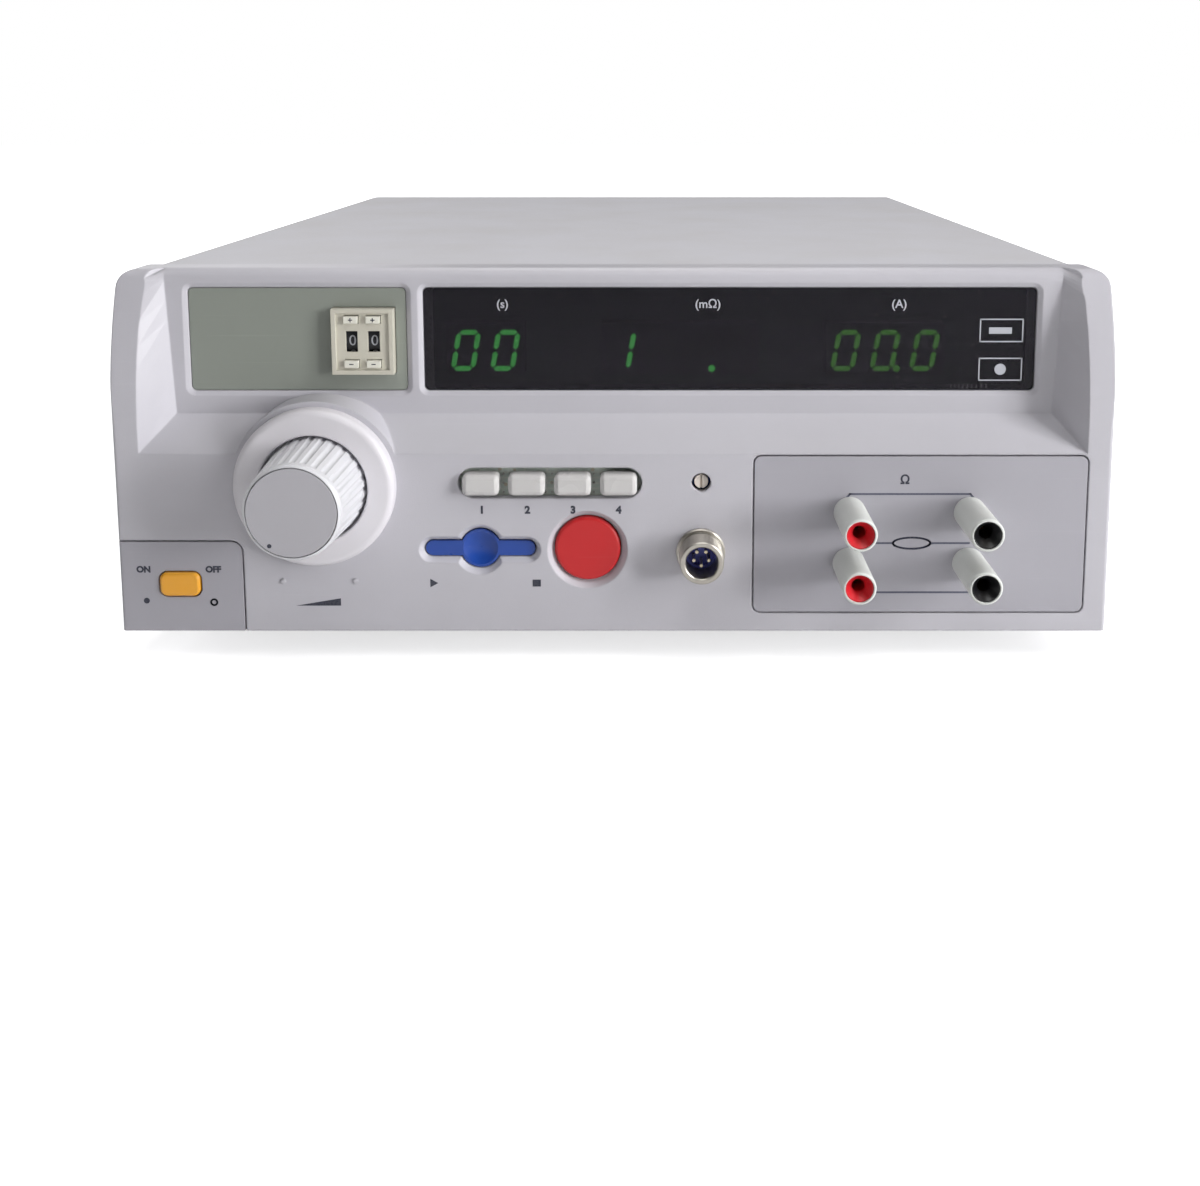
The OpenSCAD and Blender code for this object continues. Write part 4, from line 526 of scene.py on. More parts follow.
FINISHES = {
    bezel_plastic: "front_bezel",
    inset_plastic: "power_plate terminal_plate",
    ring_plastic: "dial_ring",
    knob_plastic: "knob_grip",
    cap_plastic: "knob_cap",
    blue_cap: "start_button",
    red_cap: "reset_button",
    white_caps: "mode_button_1 mode_button_2 mode_button_3 mode_button_4",
    orange_cap: "power_button",
    sleeve_plastic: "terminal_sleeves",
    liner_red: "terminal_liners_red",
    liner_black: "terminal_liners_black",
    cream_plastic: "pushwheel_housing",
    key_plastic: "tens_up_key tens_down_key units_up_key units_down_key",
    ivory_plastic: "trimmer_shaft",
    blue_insulator: "connector_insert",
    black_body: "start_switch reset_switch mode_switches power_switch",
    drum_plastic: "number_drum_tens number_drum_units",
    digit_body: "display_digits",
    blue_body: "trimmer_body",
    part_plastic: "board_parts",
    fan_plastic: "fan_frame fan_impeller",
    inlet_plastic: "mains_inlet fuse_holder",
    cover_paint: "top_cover",
    rear_paint: "rear_panel",
    shaft_steel: "variac_shaft",
    bracket_steel: "variac_bracket",
    arm_metal: "variac_brush",
    connector_nickel: "connector_shell",
    nut_nickel: "connector_nut terminal_nuts",
    contact_brass: "terminal_contacts ground_post current_shunt",
    pin_gold: "connector_pins",
    guard_wire: "fan_guard",
    screw_nickel: "case_screws",
    chassis_zinc: "chassis_base",
    window_acrylic: "display_window",
    name_film: "name_plate",
    board_green: "display_board main_board",
    board_painted_light: "control_board",
    ring_winding: "variac_coil",
    core_winding: "transformer_coil",
    core_steel: "transformer_core",
    rubber: "feet",
}

for finish, nodes in FINISHES.items():
    for name in nodes.split():
        for held in frame["nodes"][name].material_slots:
            held.material = finish


# Flat pieces: printed marks and lit segments, each a thin closed plate in front of the face that carries it


def finished(name, mesh, material, body):
    """Makes a mesh, already in its place, into a piece that rides on a body."""
    mesh.materials.clear()
    mesh.materials.append(material)
    piece = bpy.data.objects.new(name, mesh)
    bpy.context.collection.objects.link(piece)
    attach(piece, body)
    return piece


def plates(outlines, back_y, thickness):
    """Closed plates with the given front-view outlines; each runs anticlockwise as seen from the front."""
    shape = bmesh.new()
    for outline in outlines:
        rings = []
        for y in (back_y - thickness, back_y):
            rings.append([shape.verts.new(Vector((p[0] * MM, y, BASE_Z + p[1] * MM))) for p in outline])
        shape.faces.new(rings[0])
        shape.faces.new(rings[1][::-1])
        count = len(outline)
        for i in range(count):
            j = (i + 1) % count
            shape.faces.new([rings[0][j], rings[0][i], rings[1][i], rings[1][j]])
    bmesh.ops.recalc_face_normals(shape, faces=shape.faces)
    mesh = bpy.data.meshes.new("plates")
    shape.to_mesh(mesh)
    shape.free()
    return mesh


def bar(x0, z0, x1, z1, width):
    """Outline of a straight stroke with square ends."""
    along = Vector((x1 - x0, z1 - z0)).normalized() * width / 2
    side = Vector((-along.y, along.x))
    start, end = Vector((x0, z0)), Vector((x1, z1))
    return [start - along - side, end + along - side, end + along + side, start - along + side]


def strokes(points, width, closed=False):
    """Outlines of the strokes that join a list of points."""
    ends = points[1:] + points[:1] if closed else points[1:]
    return [bar(*first, *second, width) for first, second in zip(points, ends)]


def disc(x, z, radius, sides=24):
    turn = 2 * math.pi / sides
    return [(x + radius * math.cos(i * turn), z + radius * math.sin(i * turn)) for i in range(sides)]


def oval(x, z, wide, high, sides=28):
    turn = 2 * math.pi / sides
    return [(x + wide / 2 * math.cos(i * turn), z + high / 2 * math.sin(i * turn)) for i in range(sides)]


PRINT = 0.06


def lettering(text, size, bold=0.0):
    """Mesh of a plain text, centred, in the XY plane, in millimetres, with a little thickness."""
    curve = bpy.data.curves.new("lettering", "FONT")
    curve.body = text
    curve.size = size
    curve.offset = bold
    curve.align_x = "CENTER"
    curve.align_y = "CENTER"
    curve.extrude = PRINT / 2
    curve.resolution_u = 4
    holder = bpy.data.objects.new("lettering", curve)
    bpy.context.collection.objects.link(holder)
    bpy.context.view_layer.update()
    mesh = bpy.data.meshes.new_from_object(holder.evaluated_get(bpy.context.evaluated_depsgraph_get()))
    bpy.data.objects.remove(holder)
    return mesh


def print_text(name, text, size, x, z, y, material, slot, body="case", **shape):
    """Prints plain lettering on a face of the front."""
    mesh = lettering(text, size, **shape)
    mesh.transform(Matrix.Diagonal((MM, MM, MM, 1)))
    mesh.transform(Matrix.Rotation(math.pi / 2, 4, "X"))
    mesh.transform(Matrix.Translation(spot(x, z, y - PRINT / 2 * MM)))
    return finished(name, mesh, material, body)


def print_marks(name, outlines, y, material, body="case"):
    return finished(name, plates(outlines, y, PRINT * MM), material, body)


# Lit digits

DIGIT_W = 7.2
DIGIT_H = 13.6
STROKE = 1.9
SLANT = math.tan(math.radians(10))
SEGMENT_GAP = 0.3
POINT_R = 1.3
POINT_AWAY = 1.9
LIT_T = 0.12
DIGIT_PITCH = 14.6
DIGIT_DROP = 0.8
DIGIT_Z = (middle("display_digits").z - BASE_Z) / MM - DIGIT_DROP
CELLS = {
    "a": (0, 0.5, True), "g": (0, 0, True), "d": (0, -0.5, True),
    "b": (0.5, 0.25, False), "c": (0.5, -0.25, False), "e": (-0.5, -0.25, False), "f": (-0.5, 0.25, False),
}
NUMERALS = {"0": "abcdef", "1": "bc", " ": ""}


def segment(letter, x):
    """Six-sided outline of one segment of a digit whose middle is at x."""
    across, up, level = CELLS[letter]
    long = (DIGIT_W if level else DIGIT_H / 2) / 2 - SEGMENT_GAP
    thick = STROKE / 2
    points = [(-long, 0), (thick - long, -thick), (long - thick, -thick),
              (long, 0), (long - thick, thick), (thick - long, thick)]
    if not level:
        points = [(-z, a) for a, z in points]
    placed = [(a + across * DIGIT_W, z + up * DIGIT_H) for a, z in points]
    return [(x + a + z * SLANT, DIGIT_Z + z) for a, z in placed]


def point_mark(x):
    """Outline of the decimal point at the lower right of a digit."""
    return disc(x + DIGIT_W / 2 + POINT_AWAY - DIGIT_H / 2 * SLANT, DIGIT_Z - DIGIT_H / 2, POINT_R, 16)


def digit_group(name, middle_x, text, points, material):
    """One group of digits: its lit segments as one piece, and the others as another."""
    lit, dark = [], []
    for i, numeral in enumerate(text):
        x = middle_x + (i - (len(text) - 1) / 2) * DIGIT_PITCH
        for letter in CELLS:
            (lit if letter in NUMERALS[numeral] else dark).append(segment(letter, x))
        (lit if i in points else dark).append(point_mark(x))
    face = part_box("display_digits")[0].y
    for part, outlines, finish in (("lit", lit, material), ("unlit", dark, unlit)):
        mesh = plates(outlines, face, LIT_T * MM)
        finished(f"{name}_{part}", mesh, finish, "case")


digit_group("time_digits", -47.5, "00", [], lit_green)
digit_group("resistance_digits", 24.5, "1   ", [2], lit_green)
digit_group("current_digits", 100.2, "000", [1], lit_dim)

# Marks printed on the window: plain units and two status fields, each with a plain mark

UNIT_Z = 118.8
UNIT_SIZE = 4.4
UNITS = {"time_unit": ("(s)", -40.8), "resistance_unit": ("(mΩ)", 34.5), "current_unit": ("(A)", 104.6)}
for name, (text, x) in UNITS.items():
    print_text(name, text, UNIT_SIZE, x, UNIT_Z, ROW_Y, white_ink, "window_acrylic", bold=0.06)

STATUS_X = (134.6, 150.2)
STATUS_LINE = 0.45
for name, z0, z1 in (("upper_status_field", 104.9, 113.2), ("lower_status_field", 90.4, 98.6)):
    corners = [(STATUS_X[0], z0), (STATUS_X[1], z0), (STATUS_X[1], z1), (STATUS_X[0], z1)]
    print_marks(name, strokes(corners, STATUS_LINE, closed=True), ROW_Y, white_ink)
STATUS_BAR = (139.0, 109.0, 145.0, 109.0, 2.4)
STATUS_DOT = (142.4, 94.5, 4.2, 4.2)
print_marks("upper_status_mark", [bar(*STATUS_BAR)], ROW_Y, white_ink)
print_marks("lower_status_mark", [oval(*STATUS_DOT)], ROW_Y, white_ink)

# Marks printed on the panel


def panel_text(name, text, size, x, z, bold):
    print_text(name, text, size, x, z, PANEL_Y, dark_ink, "bezel_plastic", bold=bold)


def panel_marks(name, outlines, finish=dark_ink):
    print_marks(name, outlines, PANEL_Y, finish)


terminals = [m["pos_m"] for m in frame["record"]["mounts"] if m["name"].startswith("terminal_")]
red_x, black_x = sorted({round(p[0] / MM, 2) for p in terminals})
rows_z = sorted({round((p[2] - BASE_Z) / MM, 2) for p in terminals})
LINE = 0.7
MID_DROP = 2.0
TOP_RISE = 6.9
LOW_DROP = 11.1
CLAMP_ASIDE = 1.0
CLAMP = (13.5, 4.2)
LEG = (1, 1.2)
mid_row = (rows_z[0] + rows_z[1]) / 2 - MID_DROP
top_line = rows_z[1] + TOP_RISE
low_line = rows_z[0] - LOW_DROP
clamp_x = (red_x + black_x) / 2 + CLAMP_ASIDE
ring_points = oval(clamp_x, mid_row, *CLAMP)
wiring = strokes([(red_x - LEG[0], top_line - LEG[1]), (red_x, top_line),
                  (black_x, top_line), (black_x + LEG[0], top_line - LEG[1])], LINE)
wiring += strokes([(red_x, mid_row), (clamp_x - CLAMP[0] / 2, mid_row)], LINE)
wiring += strokes([(clamp_x + CLAMP[0] / 2, mid_row), (black_x, mid_row)], LINE)
wiring += strokes([(red_x, low_line), (black_x, low_line)], LINE)
wiring += strokes(ring_points, LINE, closed=True)
panel_marks("terminal_wiring", wiring, line_ink)
OHM_SIZE = 4.6
OHM_AT = (-3, 5.2)
panel_text("terminal_unit", "Ω", OHM_SIZE, clamp_x + OHM_AT[0], top_line + OHM_AT[1], 0.12)

NUMBER_SIZE = 3.8
NUMBER_Z = 45.7
for i in range(4):
    x = middle(f"mode_button_{i + 1}").x / MM
    panel_text(f"mode_number_{i + 1}", str(i + 1), NUMBER_SIZE, x, NUMBER_Z, 0.2)

power = middle("power_button")
power_x, power_z = power.x / MM, (power.z - BASE_Z) / MM
WORD_SIZE = 3.2
WORD_RISE = 5.4
DOT_R = 1.1
DOT_AT = (-12.6, -6.4)
RING_AT = (12.0, -7.0)
RING_LINE = 0.6
for name, text, aside in (("power_on_mark", "ON", -13.2), ("power_off_mark", "OFF", 12.2)):
    panel_text(name, text, WORD_SIZE, power_x + aside, power_z + WORD_RISE, 0.17)
panel_marks("power_in_mark", [disc(power_x + DOT_AT[0], power_z + DOT_AT[1], DOT_R)])
circle = disc(power_x + RING_AT[0], power_z + RING_AT[1], DOT_R, 16)
panel_marks("power_out_mark", strokes(circle, RING_LINE, closed=True))

SYMBOL_Z = 18.2
PLAY_X = (-18.3, -15.4)
PLAY_HALF = 1.6
start_x = middle("start_button").x / MM
play = [(start_x + PLAY_X[0], SYMBOL_Z - PLAY_HALF), (start_x + PLAY_X[1], SYMBOL_Z),
        (start_x + PLAY_X[0], SYMBOL_Z + PLAY_HALF)]
panel_marks("start_symbol", [play])
STOP_ASIDE = 18.6
STOP_SIDE = 2.6
STOP_HALF = 0.2
stop_x = middle("reset_button").x / MM - STOP_ASIDE
stop = bar(stop_x - STOP_HALF, SYMBOL_Z, stop_x + STOP_HALF, SYMBOL_Z, STOP_SIDE)
panel_marks("reset_symbol", [stop])

WEDGE_X = (-8.8, 7.6)
WEDGE_Z = (9.6, 12.4)
knob_x = middle("knob_grip").x / MM
wedge = [(knob_x + WEDGE_X[0], WEDGE_Z[0]), (knob_x + WEDGE_X[1], WEDGE_Z[0]),
         (knob_x + WEDGE_X[1], WEDGE_Z[1])]
panel_marks("turn_up_symbol", [wedge])


# Numerals round the two drums of the pushwheel switch, and signs on its keys

DRUM_R = (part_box("number_drum_tens")[1].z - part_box("number_drum_tens")[0].z) / 2 / MM
NUMERAL_SIZE = 5.6
BANDS = 12
SIGN_LINE = 0.35
SIGN_HALF = 0.6


def wrapped_numeral(text, size, angle, centre):
    """Numeral laid round a drum whose axis runs from left to right."""
    mesh = lettering(text, size)
    shape = bmesh.new()
    shape.from_mesh(mesh)
    for i in range(-BANDS // 2, BANDS // 2 + 1):
        everything = shape.verts[:] + shape.edges[:] + shape.faces[:]
        bmesh.ops.bisect_plane(shape, geom=everything, plane_co=(0, i * size / BANDS, 0), plane_no=(0, 1, 0))
    for vert in shape.verts:
        turn = vert.co.y / DRUM_R + angle
        reach = DRUM_R + PRINT / 2 + vert.co.z
        vert.co = Vector((vert.co.x, -reach * math.cos(turn), reach * math.sin(turn))) * MM + centre
    shape.to_mesh(mesh)
    shape.free()
    return mesh


def joined(meshes):
    """One mesh from several."""
    shape = bmesh.new()
    for mesh in meshes:
        shape.from_mesh(mesh)
    whole = bpy.data.meshes.new("joined")
    shape.to_mesh(whole)
    shape.free()
    return whole


for place_name in ("tens", "units"):
    centre = middle(f"number_drum_{place_name}")
    numerals = [wrapped_numeral(str(i), NUMERAL_SIZE, math.radians(36 * i), centre) for i in range(10)]
    finished(f"{place_name}_numerals", joined(numerals), white_ink, f"{place_name}_drum")
    for way, cross in (("up", True), ("down", False)):
        key = f"{place_name}_{way}_key"
        low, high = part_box(key)
        x, z = (low.x + high.x) / 2 / MM, ((low.z + high.z) / 2 - BASE_Z) / MM
        sign = [bar(x - SIGN_HALF, z, x + SIGN_HALF, z, SIGN_LINE)]
        if cross:
            sign += [bar(x, z - SIGN_HALF, x, z - SIGN_LINE, SIGN_LINE),
                     bar(x, z + SIGN_LINE, x, z + SIGN_HALF, SIGN_LINE)]
        print_marks(f"{key}_sign", sign, low.y, dark_ink, key)

# Pointer on the knob's cap, at the start of its turn

cap_low, cap_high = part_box("knob_cap")
cap = middle("knob_cap")
POINTER_TURN = math.radians(236)
POINTER_IN = 1.6
POINTER_R = 0.75
pointer_r = (cap_high.x - cap_low.x) / 2 / MM - POINTER_IN
pointer = disc(cap.x / MM + pointer_r * math.cos(POINTER_TURN),
               (cap.z - BASE_Z) / MM + pointer_r * math.sin(POINTER_TURN), POINTER_R)
print_marks("knob_pointer", [pointer], cap_low.y, dark_ink, "knob")


# Repeated fine pieces, made by Geometry Nodes


def geometry_tree(name, inputs):
    """Empty Geometry Nodes tree with the named inputs, and its input and output nodes."""
    tree = bpy.data.node_groups.new(name, "GeometryNodeTree")
    tree.interface.new_socket("Places", in_out="INPUT", socket_type="NodeSocketGeometry")
    for label, kind in inputs.items():
        tree.interface.new_socket(label, in_out="INPUT", socket_type="NodeSocket" + kind)
    tree.interface.new_socket("Piece", in_out="OUTPUT", socket_type="NodeSocketGeometry")
    return tree, tree.nodes.new("NodeGroupInput").outputs, tree.nodes.new("NodeGroupOutput")


def grow(tree, kind, inputs=None, **settings):
    """Adds a geometry node with its settings and inputs."""
    node = tree.nodes.new("GeometryNode" + kind)
    for key, value in settings.items():
        setattr(node, key, value)
    return fill(node, inputs or {})


def close_tree(tree, given, result, geometry):
    """Ends a tree: real copies with the material on them."""
    real = grow(tree, "RealizeInstances", {0: geometry}).outputs[0]
    dressed = grow(tree, "SetMaterial", {"Geometry": real, "Material": given["Material"]}).outputs[0]
    fill(result, {"Piece": dressed})
    return tree


def at_places(name, places, tree, values, body):
    """Runs a tree on a cloud of points and keeps the result as a plain mesh that rides on a body."""
    cloud = bpy.data.meshes.new(name)
    cloud.from_pydata([tuple(p) for p in places], [], [])
    host = bpy.data.objects.new(name, cloud)
    bpy.context.collection.objects.link(host)
    modifier = host.modifiers.new("copies", "NODES")
    modifier.node_group = tree
    for item in tree.interface.items_tree:
        if item.in_out == "INPUT" and item.name in values:
            modifier[item.identifier] = values[item.name]
    bpy.context.view_layer.update()
    depsgraph = bpy.context.evaluated_depsgraph_get()
    mesh = bpy.data.meshes.new_from_object(host.evaluated_get(depsgraph), depsgraph=depsgraph)
    host.modifiers.clear()
    host.data = mesh
    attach(host, body)
    return host


def screw_head_tree():
    """Domed screw heads with a cross recess, standing on a plane that faces along Turn."""
    tree, given, result = geometry_tree("screw heads", {
        "Radius": "Float", "Height": "Float", "Cross": "Float", "Turn": "Rotation", "Material": "Material"})
    head = grow(tree, "MeshCone", {
        "Vertices": 32, "Side Segments": 1, "Radius Bottom": given["Radius"], "Depth": given["Height"]})
    narrow = maths(tree, "MULTIPLY", given["Radius"], 0.72)
    fill(head, {"Radius Top": narrow})
    arms = []
    for swap in (False, True):
        longer = maths(tree, "MULTIPLY", given["Cross"], 4.2)
        sides = {"X": longer, "Y": given["Cross"]} if not swap else {"X": given["Cross"], "Y": longer}
        size = add(tree, "CombineXYZ", {**sides, "Z": given["Height"]}).outputs[0]
        arms.append(grow(tree, "MeshCube", {"Size": size}).outputs["Mesh"])
    lifted = []
    lift = add(tree, "CombineXYZ", {"Z": given["Height"]}).outputs[0]
    for arm in arms:
        lifted.append(grow(tree, "Transform", {"Geometry": arm, "Translation": lift}).outputs[0])
    cut = grow(tree, "MeshBoolean", {"Mesh 1": head.outputs["Mesh"]}, operation="DIFFERENCE")
    for arm in lifted:
        tree.links.new(arm, cut.inputs["Mesh 2"])
    copies = grow(tree, "InstanceOnPoints", {
        "Points": given["Places"], "Instance": cut.outputs["Mesh"], "Rotation": given["Turn"]}).outputs[0]
    return close_tree(tree, given, result, copies)


def ring_stack_tree():
    """Turns of a thread: rings at every place, round an axis along Turn."""
    tree, given, result = geometry_tree("thread turns", {
        "Radius": "Float", "Wire": "Float", "Turn": "Rotation", "Material": "Material"})
    path = grow(tree, "CurvePrimitiveCircle", {"Resolution": 40, "Radius": given["Radius"]}).outputs["Curve"]
    section = grow(tree, "CurvePrimitiveCircle", {"Resolution": 6, "Radius": given["Wire"]}).outputs["Curve"]
    ring = grow(tree, "CurveToMesh", {"Curve": path, "Profile Curve": section}).outputs["Mesh"]
    copies = grow(tree, "InstanceOnPoints", {
        "Points": given["Places"], "Instance": ring, "Rotation": given["Turn"]}).outputs[0]
    return close_tree(tree, given, result, copies)


def ring_winding_tree():
    """Wire wound through and round a ring, at every place, with the ring's axis along Turn."""
    tree, given, result = geometry_tree("ring winding", {
        "Middle Radius": "Float", "Thickness": "Float", "Length": "Float", "Corner": "Float",
        "Wire": "Float", "Turns": "Int", "Turn": "Rotation", "Material": "Material"})
    loop = grow(tree, "CurvePrimitiveQuadrilateral", {
        "Width": given["Thickness"], "Height": given["Length"]}).outputs["Curve"]
    rounded = grow(tree, "FilletCurve", {"Curve": loop, "Radius": given["Corner"]}, mode="POLY")
    rounded.inputs["Count"].default_value = 3
    section = grow(tree, "CurvePrimitiveCircle", {"Resolution": 5, "Radius": given["Wire"]}).outputs["Curve"]
    wire = grow(tree, "CurveToMesh", {
        "Curve": rounded.outputs["Curve"], "Profile Curve": section}).outputs["Mesh"]
    upright = grow(tree, "Transform", {"Geometry": wire, "Rotation": (math.pi / 2, 0, 0)}).outputs[0]
    spots = grow(tree, "MeshCircle", {
        "Vertices": given["Turns"], "Radius": given["Middle Radius"]}).outputs["Mesh"]
    step = maths(tree, "DIVIDE", 2 * math.pi, given["Turns"])
    index = grow(tree, "InputIndex").outputs[0]
    angle = maths(tree, "MULTIPLY", index, step)
    rotation = add(tree, "CombineXYZ", {"Z": angle}).outputs[0]
    turns = grow(tree, "InstanceOnPoints", {
        "Points": spots, "Instance": upright, "Rotation": rotation}).outputs[0]
    copies = grow(tree, "InstanceOnPoints", {
        "Points": given["Places"], "Instance": turns, "Rotation": given["Turn"]}).outputs[0]
    return close_tree(tree, given, result, copies)


def solder_tree():
    """Solder joints: low domes of uneven size at every place."""
    tree, given, result = geometry_tree("solder joints", {
        "Radius": "Float", "Unevenness": "Float", "Seed": "Int", "Material": "Material"})
    dome = grow(tree, "MeshIcoSphere", {"Radius": given["Radius"], "Subdivisions": 2}).outputs["Mesh"]
    least = maths(tree, "SUBTRACT", 1.0, given["Unevenness"])
    size = tree.nodes.new("FunctionNodeRandomValue")
    fill(size, {"Seed": given["Seed"], 2: least, 3: 1.0})
    copies = grow(tree, "InstanceOnPoints", {
        "Points": given["Places"], "Instance": dome, "Scale": size.outputs[1]}).outputs[0]
    return close_tree(tree, given, result, copies)


SCREW_HEADS = screw_head_tree()
THREAD_TURNS = ring_stack_tree()
SOLDER_JOINTS = solder_tree()
RING_WINDING = ring_winding_tree()
TO_REAR = (-math.pi / 2, 0, 0)
TO_FRONT = (math.pi / 2, 0, 0)


def rear_screws(name, places, radius, height, cross):
    """Screw heads on the rear panel, sizes in millimetres."""
    at_places(name, places, SCREW_HEADS,
              {"Radius": radius * MM, "Height": height * MM, "Cross": cross * MM, "Turn": TO_REAR,
               "Material": screw_nickel}, "case")


rear_low, rear_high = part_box("rear_panel")
EDGE_IN = 6 * MM
corner_places = [(x, rear_high.y, z) for x in (rear_low.x + EDGE_IN, rear_high.x - EDGE_IN)
                 for z in (rear_low.z + 2 * EDGE_IN, (rear_low.z + rear_high.z) / 2, rear_high.z - EDGE_IN)]
rear_screws("rear_panel_screws", corner_places, 2.9, 1.4, 0.8)

fan_low, fan_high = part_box("fan_frame")
FAN_SCREW_IN = 4.25 * MM
EYE_T = 1.6 * MM
fan_screws = [(x, rear_high.y + EYE_T, z) for x in (fan_low.x + FAN_SCREW_IN, fan_high.x - FAN_SCREW_IN)
              for z in (fan_low.z + FAN_SCREW_IN, fan_high.z - FAN_SCREW_IN)]
rear_screws("fan_screws", fan_screws, 3.4, 1.8, 0.9)

INLET_SCREW_DX = 20 * MM
inlet, inlet_high = middle("mains_inlet"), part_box("mains_inlet")[1]
inlet_screws = [(inlet.x + side * INLET_SCREW_DX, inlet_high.y, inlet.z) for side in (-1, 1)]
rear_screws("inlet_screws", inlet_screws, 2.8, 1.2, 0.7)

post = middle("ground_post")
THREAD_PITCH = 1.0 * MM
THREAD_IN = 6.4 * MM
thread_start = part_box("ground_post")[1].y - THREAD_IN
thread_places = [(post.x, thread_start + i * THREAD_PITCH, post.z) for i in range(6)]
at_places("ground_post_thread", thread_places, THREAD_TURNS,
          {"Radius": 2.98 * MM, "Wire": 0.16 * MM, "Turn": TO_FRONT, "Material": contact_brass},
          "case")

shell_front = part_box("connector_shell")[0].y
shell = middle("connector_shell")
BARREL_R = 7.8 * MM
RIM = 1.3 * MM
barrel_places = [(shell.x, shell_front + RIM + i * THREAD_PITCH, shell.z) for i in range(8)]
at_places("connector_thread", barrel_places, THREAD_TURNS,
          {"Radius": BARREL_R - 0.05 * MM, "Wire": 0.18 * MM, "Turn": TO_FRONT,
           "Material": connector_nickel}, "case")

coil_low, coil_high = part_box("variac_coil")
COIL_HOLE_R = 22 * MM
coil_r = (coil_high.x - coil_low.x) / 2
at_places("ring_coil_turns", [middle("variac_coil")], RING_WINDING,
          {"Middle Radius": (coil_r + COIL_HOLE_R) / 2, "Thickness": coil_r - COIL_HOLE_R,
           "Length": coil_high.y - coil_low.y, "Corner": 5 * MM, "Wire": 0.45 * MM, "Turns": 120,
           "Turn": TO_FRONT, "Material": ring_winding}, "case")

board_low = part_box("control_board")[0]
slot_z = middle("mode_button_1").z
JOINT_IN = 8
JOINT_PITCH = 2.54
JOINT_ROWS = 3.4
STEM_CLEAR = 2.6
joint_places = []
for i in range(26):
    for j in range(4):
        x = board_low.x + (JOINT_IN + JOINT_PITCH * i) * MM
        z = slot_z + (j - 1.5) * JOINT_ROWS * MM
        clear = all(abs(x - middle(f"mode_button_{k + 1}").x) > STEM_CLEAR * MM for k in range(4))
        if clear:
            joint_places.append((x, board_low.y, z))
at_places("control_board_joints", joint_places, SOLDER_JOINTS,
          {"Radius": 0.55 * MM, "Unevenness": 0.35, "Seed": 4, "Material": nut_nickel}, "case")


# Floor, light and camera

FLOOR_REACH = 6.0
FLOOR_GLOW = 0.62
GLOW_REACH = (0.6, 1.8)


def white_floor():
    """Pale floor that stays white round the object and keeps its soft shadow."""
    mesh = bpy.data.meshes.new("floor")
    corners = [(x * FLOOR_REACH, y * FLOOR_REACH, 0) for x, y in ((-1, -1), (1, -1), (1, 1), (-1, 1))]
    mesh.from_pydata(corners, [], [(0, 1, 2, 3)])
    floor = bpy.data.objects.new("floor", mesh)
    bpy.context.collection.objects.link(floor)
    material, tree, shader = new_finish("floor")
    fill(shader, {"Base Color": (0.88, 0.88, 0.88, 1.0), "Roughness": 0.9})
    point = add(tree, "TexCoord").outputs["Object"]
    away = add(tree, "VectorMath", {0: point}, operation="LENGTH").outputs["Value"]
    glow = spread(tree, away, *GLOW_REACH, FLOOR_GLOW, 1.0)
    strength = maths(tree, "MULTIPLY", camera_side(tree), glow)
    fill(shader, {"Emission Color": (1, 1, 1, 1), "Emission Strength": strength})
    mesh.materials.append(material)


def camera_side(tree):
    """1 where the eye looks, also through a clear piece, and 0 where light is gathered."""
    path = add(tree, "LightPath").outputs
    return maths(tree, "ADD", path["Is Camera Ray"], path["Is Transmission Ray"], clamp=True)


AMBIENT = 0.012
AIM_Z = 0.08


def white_world():
    world = bpy.data.worlds.new("white room")
    bpy.context.scene.world = world
    world.use_nodes = True
    tree = world.node_tree
    seen = camera_side(tree)
    strength = spread(tree, seen, 0.0, 1.0, AMBIENT, 1.0)
    fill(tree.nodes["Background"], {"Color": (1.0, 1.0, 1.0, 1.0), "Strength": strength})


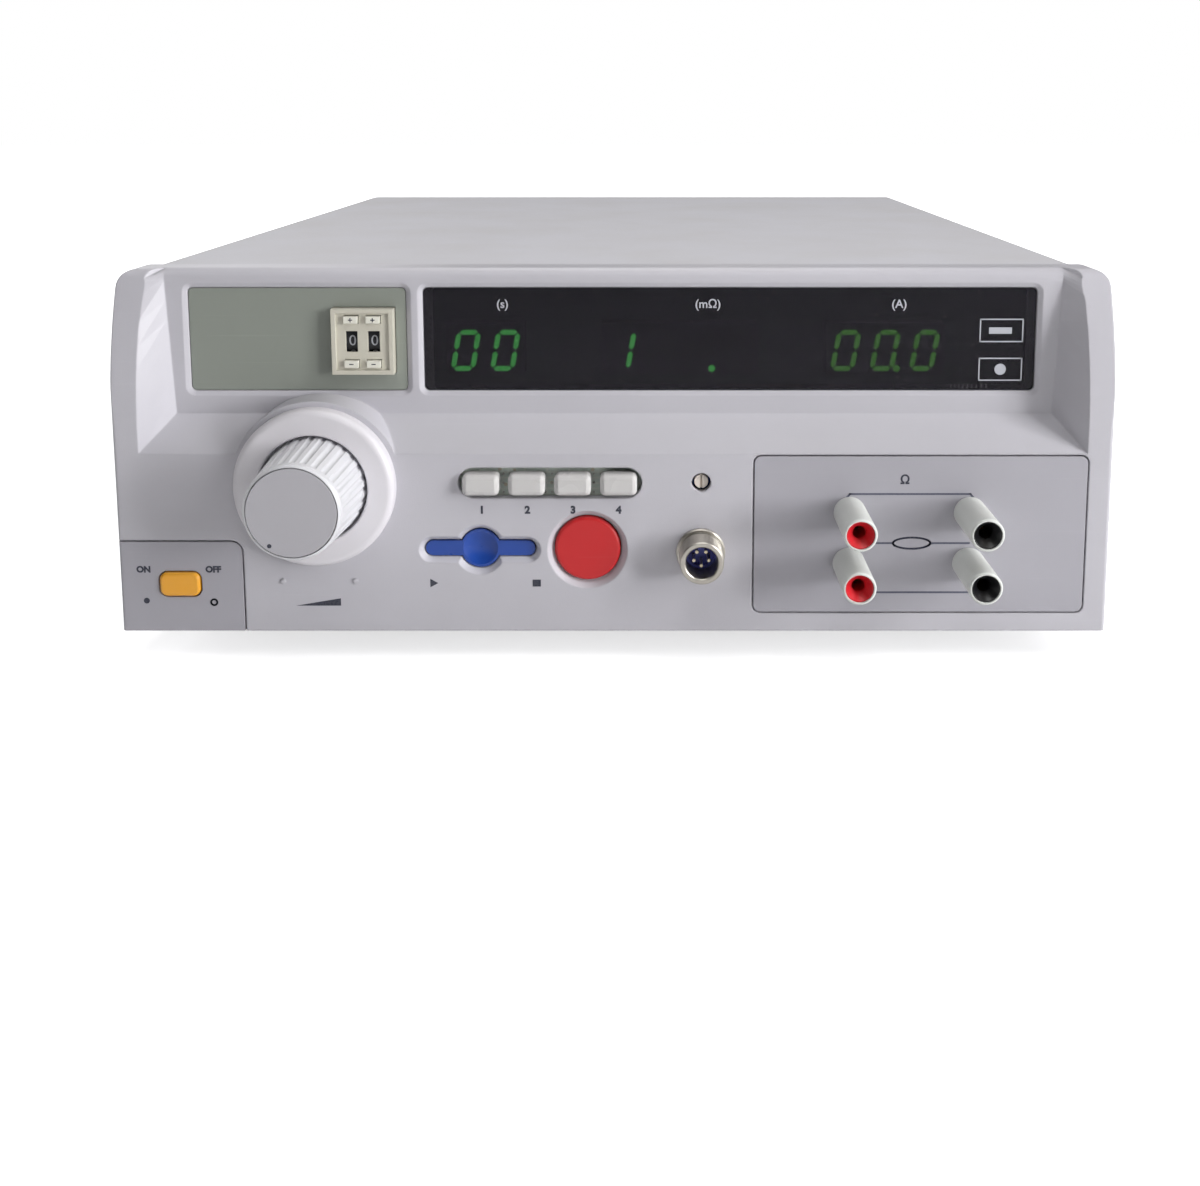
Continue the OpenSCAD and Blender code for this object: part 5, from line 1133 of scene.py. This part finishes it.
def soft_lamp(name, turn, height, distance, wide, high, power):
    """Lamp that looks at the middle of the front: turned to the right and raised, both in degrees."""
    turn, height = math.radians(turn), math.radians(height)
    level = math.cos(height)
    direction = Vector((math.sin(turn) * level, -math.cos(turn) * level, math.sin(height)))
    data = bpy.data.lights.new(name, "AREA")
    data.shape = "RECTANGLE"
    data.size = wide
    data.size_y = high
    data.energy = power
    lamp = bpy.data.objects.new(name, data)
    bpy.context.collection.objects.link(lamp)
    lamp.location = Vector((0, PANEL_Y, AIM_Z)) + direction * distance
    lamp.rotation_euler = (-direction).to_track_quat("-Z", "Y").to_euler()


# Turn and rise in degrees, distance, width and height in metres, power in watts
LAMPS = {
    "key lamp": (60, 20, 2.0, 0.25, 1.4, 8.0),
    "right lamp": (70, 20, 2.0, 0.25, 1.4, 21.5),
    "low lamp": (60, 5, 2.0, 0.25, 0.6, 14.5),
    "upper lamp": (20, 70, 0.8, 0.5, 0.5, 1.7),
    "fill lamp": (-60, 70, 3.0, 1.6, 1.6, 9),
    "rear lamp": (180, 60, 3.0, 1.6, 1.6, 30),
    "rear lamp, low": (-150, 15, 3.0, 1.6, 1.6, 10),
    "left lamp": (-110, 20, 3.0, 1.6, 1.6, 26),
}


def studio():
    white_floor()
    white_world()
    for name, values in LAMPS.items():
        soft_lamp(name, *values)


# The photograph's width, focal length and shift are in pixels, the eye's place in metres
PHOTO_W = 1200
FOCAL = 1145
SENSOR = 36.0
SHIFT = (-52, -346.6)
EYE_X = 14 * MM
EYE_AWAY = 0.4
EYE_Z = 0.2015
PITCH = 6.8


def photo_camera():
    """Camera of the photograph: a little above the case, close in front of it."""
    data = bpy.data.cameras.new("camera")
    data.sensor_width = SENSOR
    data.lens = SENSOR * FOCAL / PHOTO_W
    data.shift_x = SHIFT[0] / PHOTO_W
    data.shift_y = SHIFT[1] / PHOTO_W
    camera = bpy.data.objects.new("camera", data)
    bpy.context.collection.objects.link(camera)
    camera.location = (EYE_X, PANEL_Y - EYE_AWAY, EYE_Z)
    camera.rotation_euler = (math.radians(90 - PITCH), 0, 0)
    bpy.context.scene.camera = camera


studio()
photo_camera()
bpy.context.scene.view_settings.view_transform = "Standard"
